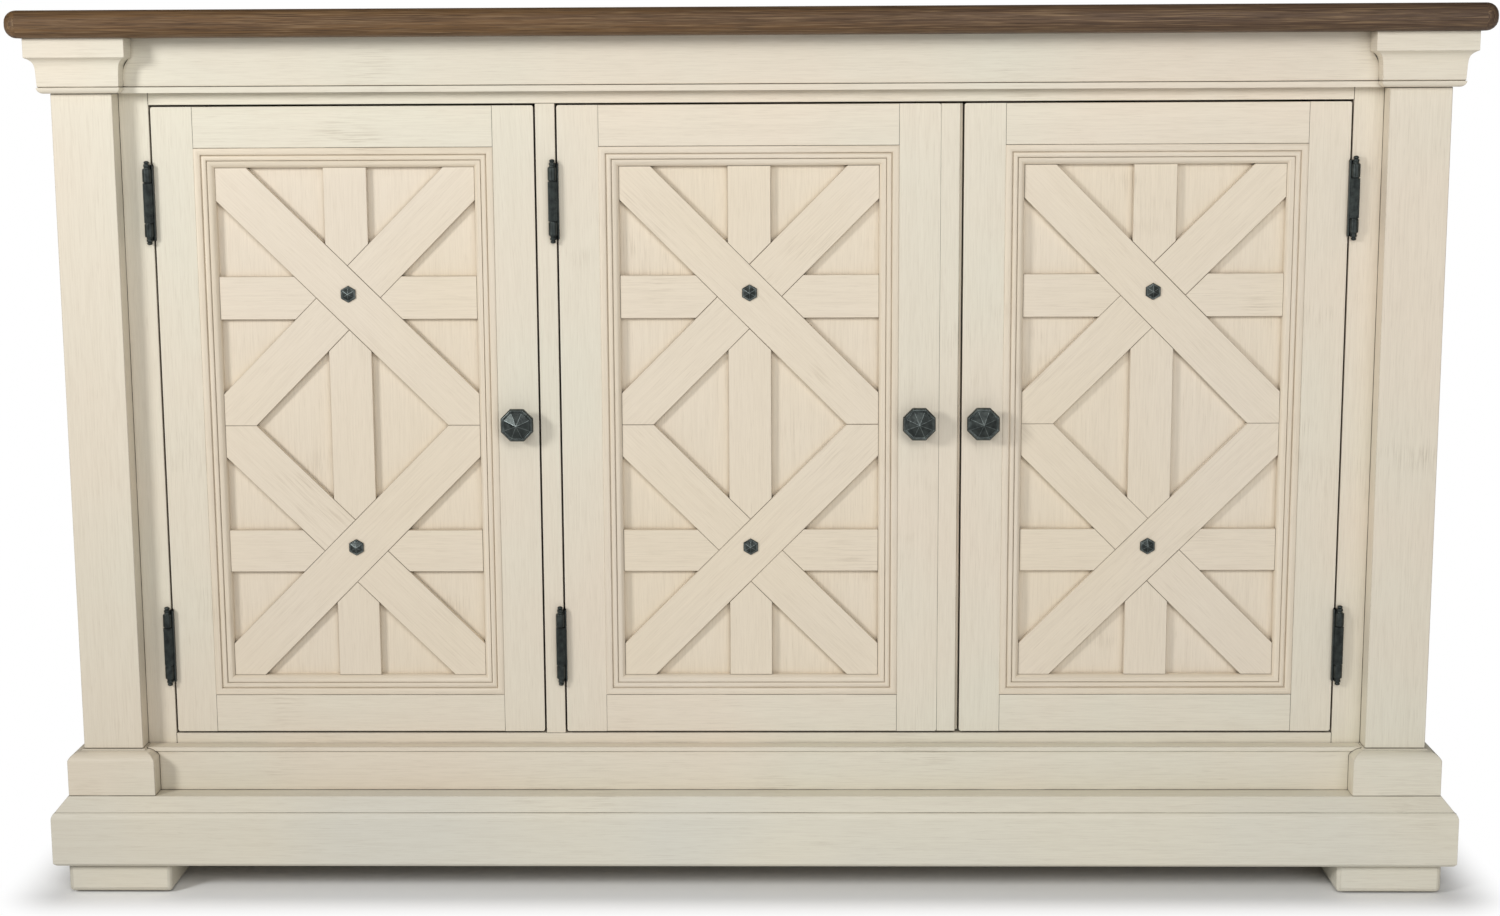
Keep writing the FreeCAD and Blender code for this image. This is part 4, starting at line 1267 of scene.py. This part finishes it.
def turned_end(up):
    """The pin's end: a neck and a small flattened ball, spun from their profile."""
    base = up * (MIDDLE_LENGTH / 2 + KNUCKLE_GAP + END_LENGTH)
    outline = [(PIN_RADIUS, 0), (PIN_RADIUS * 0.9, PIN_WAIST)]
    for part in range(2, 9):
        angle = math.pi * (part / 8 - 0.5)
        reach = max(BALL_RADIUS * math.cos(angle), 0)
        outline.append((reach, BALL_TOP - BALL_HEIGHT * (1 - math.sin(angle))))
    mesh = bpy.data.meshes.new("turned_end")
    points = [(radius, 0, base + up * height) for radius, height in outline]
    mesh.from_pydata(points, [(i, i + 1) for i in range(len(points) - 1)], [])
    end = bpy.data.objects.new("turned_end", mesh)
    bpy.context.scene.collection.objects.link(end)
    only(end)
    edit()
    bpy.ops.mesh.select_all(action="SELECT")
    bpy.ops.mesh.spin(steps=BARREL_SIDES, angle=2 * math.pi, center=(0, 0, 0), axis=(0, 0, 1))
    bpy.ops.mesh.select_all(action="SELECT")
    bpy.ops.mesh.remove_doubles(threshold=WELD)
    pick_edges(lambda edge: edge.is_boundary)
    bpy.ops.mesh.edge_face_add()
    bpy.ops.mesh.select_all(action="SELECT")
    bpy.ops.mesh.normals_make_consistent(inside=False)
    leave_edit()
    return end


def leaf(gap_side, low, high, back):
    """A plate beside the barrel, from the barrel's line to its back, with a small round at its corners."""
    def back_corner(edge):
        first, last = (vert.co for vert in edge.verts)
        return abs(first.z - last.z) < WELD and abs(first.y - last.y) < WELD and first.y > back / 2

    bpy.ops.object.select_all(action="DESELECT")
    bpy.ops.mesh.primitive_cube_add(size=1, location=(gap_side, back / 2, (low + high) / 2))
    plate = bpy.context.object
    plate.scale = (LEAF_THICK, back, high - low)
    settle(plate, "leaf")
    edit()
    pick_edges(back_corner)
    bpy.ops.mesh.bevel(offset=LEAF_CORNER, segments=4, affect="EDGES")
    leave_edit()
    return plate


def joined(name, *parts):
    """Join parts into one model with eased edges and iron on it."""
    only(parts[0])
    for part in parts[1:]:
        part.select_set(True)
    if len(parts) > 1:
        bpy.ops.object.join()
    model = bpy.context.object
    model.name = name
    model.data.materials.append(black_iron)
    ease(model, HINGE_ARRIS, 1)
    even_out(model)
    return model


joints = {joint["child"]: joint for joint in frame["joints"]}
barrel_setback = door_face - joints["door_left"]["pos_m"][1]
leaf_back = barrel_setback + LEAF_DEPTH
leaf_half = MIDDLE_LENGTH / 2 + END_LENGTH
end_low = MIDDLE_LENGTH / 2 + KNUCKLE_GAP
pins = joined("hinge_pin", turned_end(1), turned_end(-1),
              upright_bar(PIN_RADIUS, -end_low - END_LENGTH, end_low + END_LENGTH, 20))
hinges = 0
for door in DOORS:
    joint = joints[f"door_{door}"]
    hinge_x, hinge_y = joint["pos_m"][:2]
    side = 1 if joint["axis"][2] < 0 else -1
    low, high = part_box(f"door_{door}_hinge_leaves")
    edge_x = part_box(f"door_{door}_stiles")[0 if side > 0 else 1].x - hinge_x
    door_leaf_x = edge_x + side * (LEAF_INSET - LEAF_THICK / 2)
    frame_leaf_x = edge_x - side * (DOOR_GAP + LEAF_INSET - LEAF_THICK / 2)
    door_half = joined("door_half", fluted_knuckle(), leaf(door_leaf_x, -leaf_half, leaf_half, leaf_back))
    frame_half = joined("frame_half", end_knuckle(1), end_knuckle(-1),
                        leaf(frame_leaf_x, -leaf_half, leaf_half, leaf_back))
    for level, height in (("upper", high.z - leaf_half), ("lower", low.z + leaf_half)):
        place = (hinge_x, hinge_y, height)
        for model, owner, body, node in (
                (door_half, "door", f"door_{door}", f"door_{door}_hinge_leaves"),
                (frame_half, "frame", "cabinet", "hinge_frame_leaves"),
                (pins, "pin", "cabinet", "hinge_pins")):
            piece = copy_to(model, f"{owner}_{door}_hinge_{level}", place)
            finish_piece(piece, "black_iron", body, [node])
        hinges += 1
    discard(door_half)
    discard(frame_half)
discard(pins)
print(hinges, "hinges")

# %% [markdown]
# ## Small fittings
# The catches, strike plates, shelf pins and glides are already the right shape. They only get their steel,
# plastic and nylon, and the catches get eased edges, because moulded plastic is never sharp.

# %% Catches, strikes, shelf pins and glides
eased_board("magnet_catches", 0.6 * MM, 3)
for door in DOORS:
    eased_board(f"door_{door}_strike", 0.2 * MM)
for node in ("shelf_pins", "foot_glides"):
    part = frame["nodes"][node]
    slot = part.material_slots[0].material.name
    part.material_slots[0].material = FINISHES[slot][0]
print("small fittings finished")
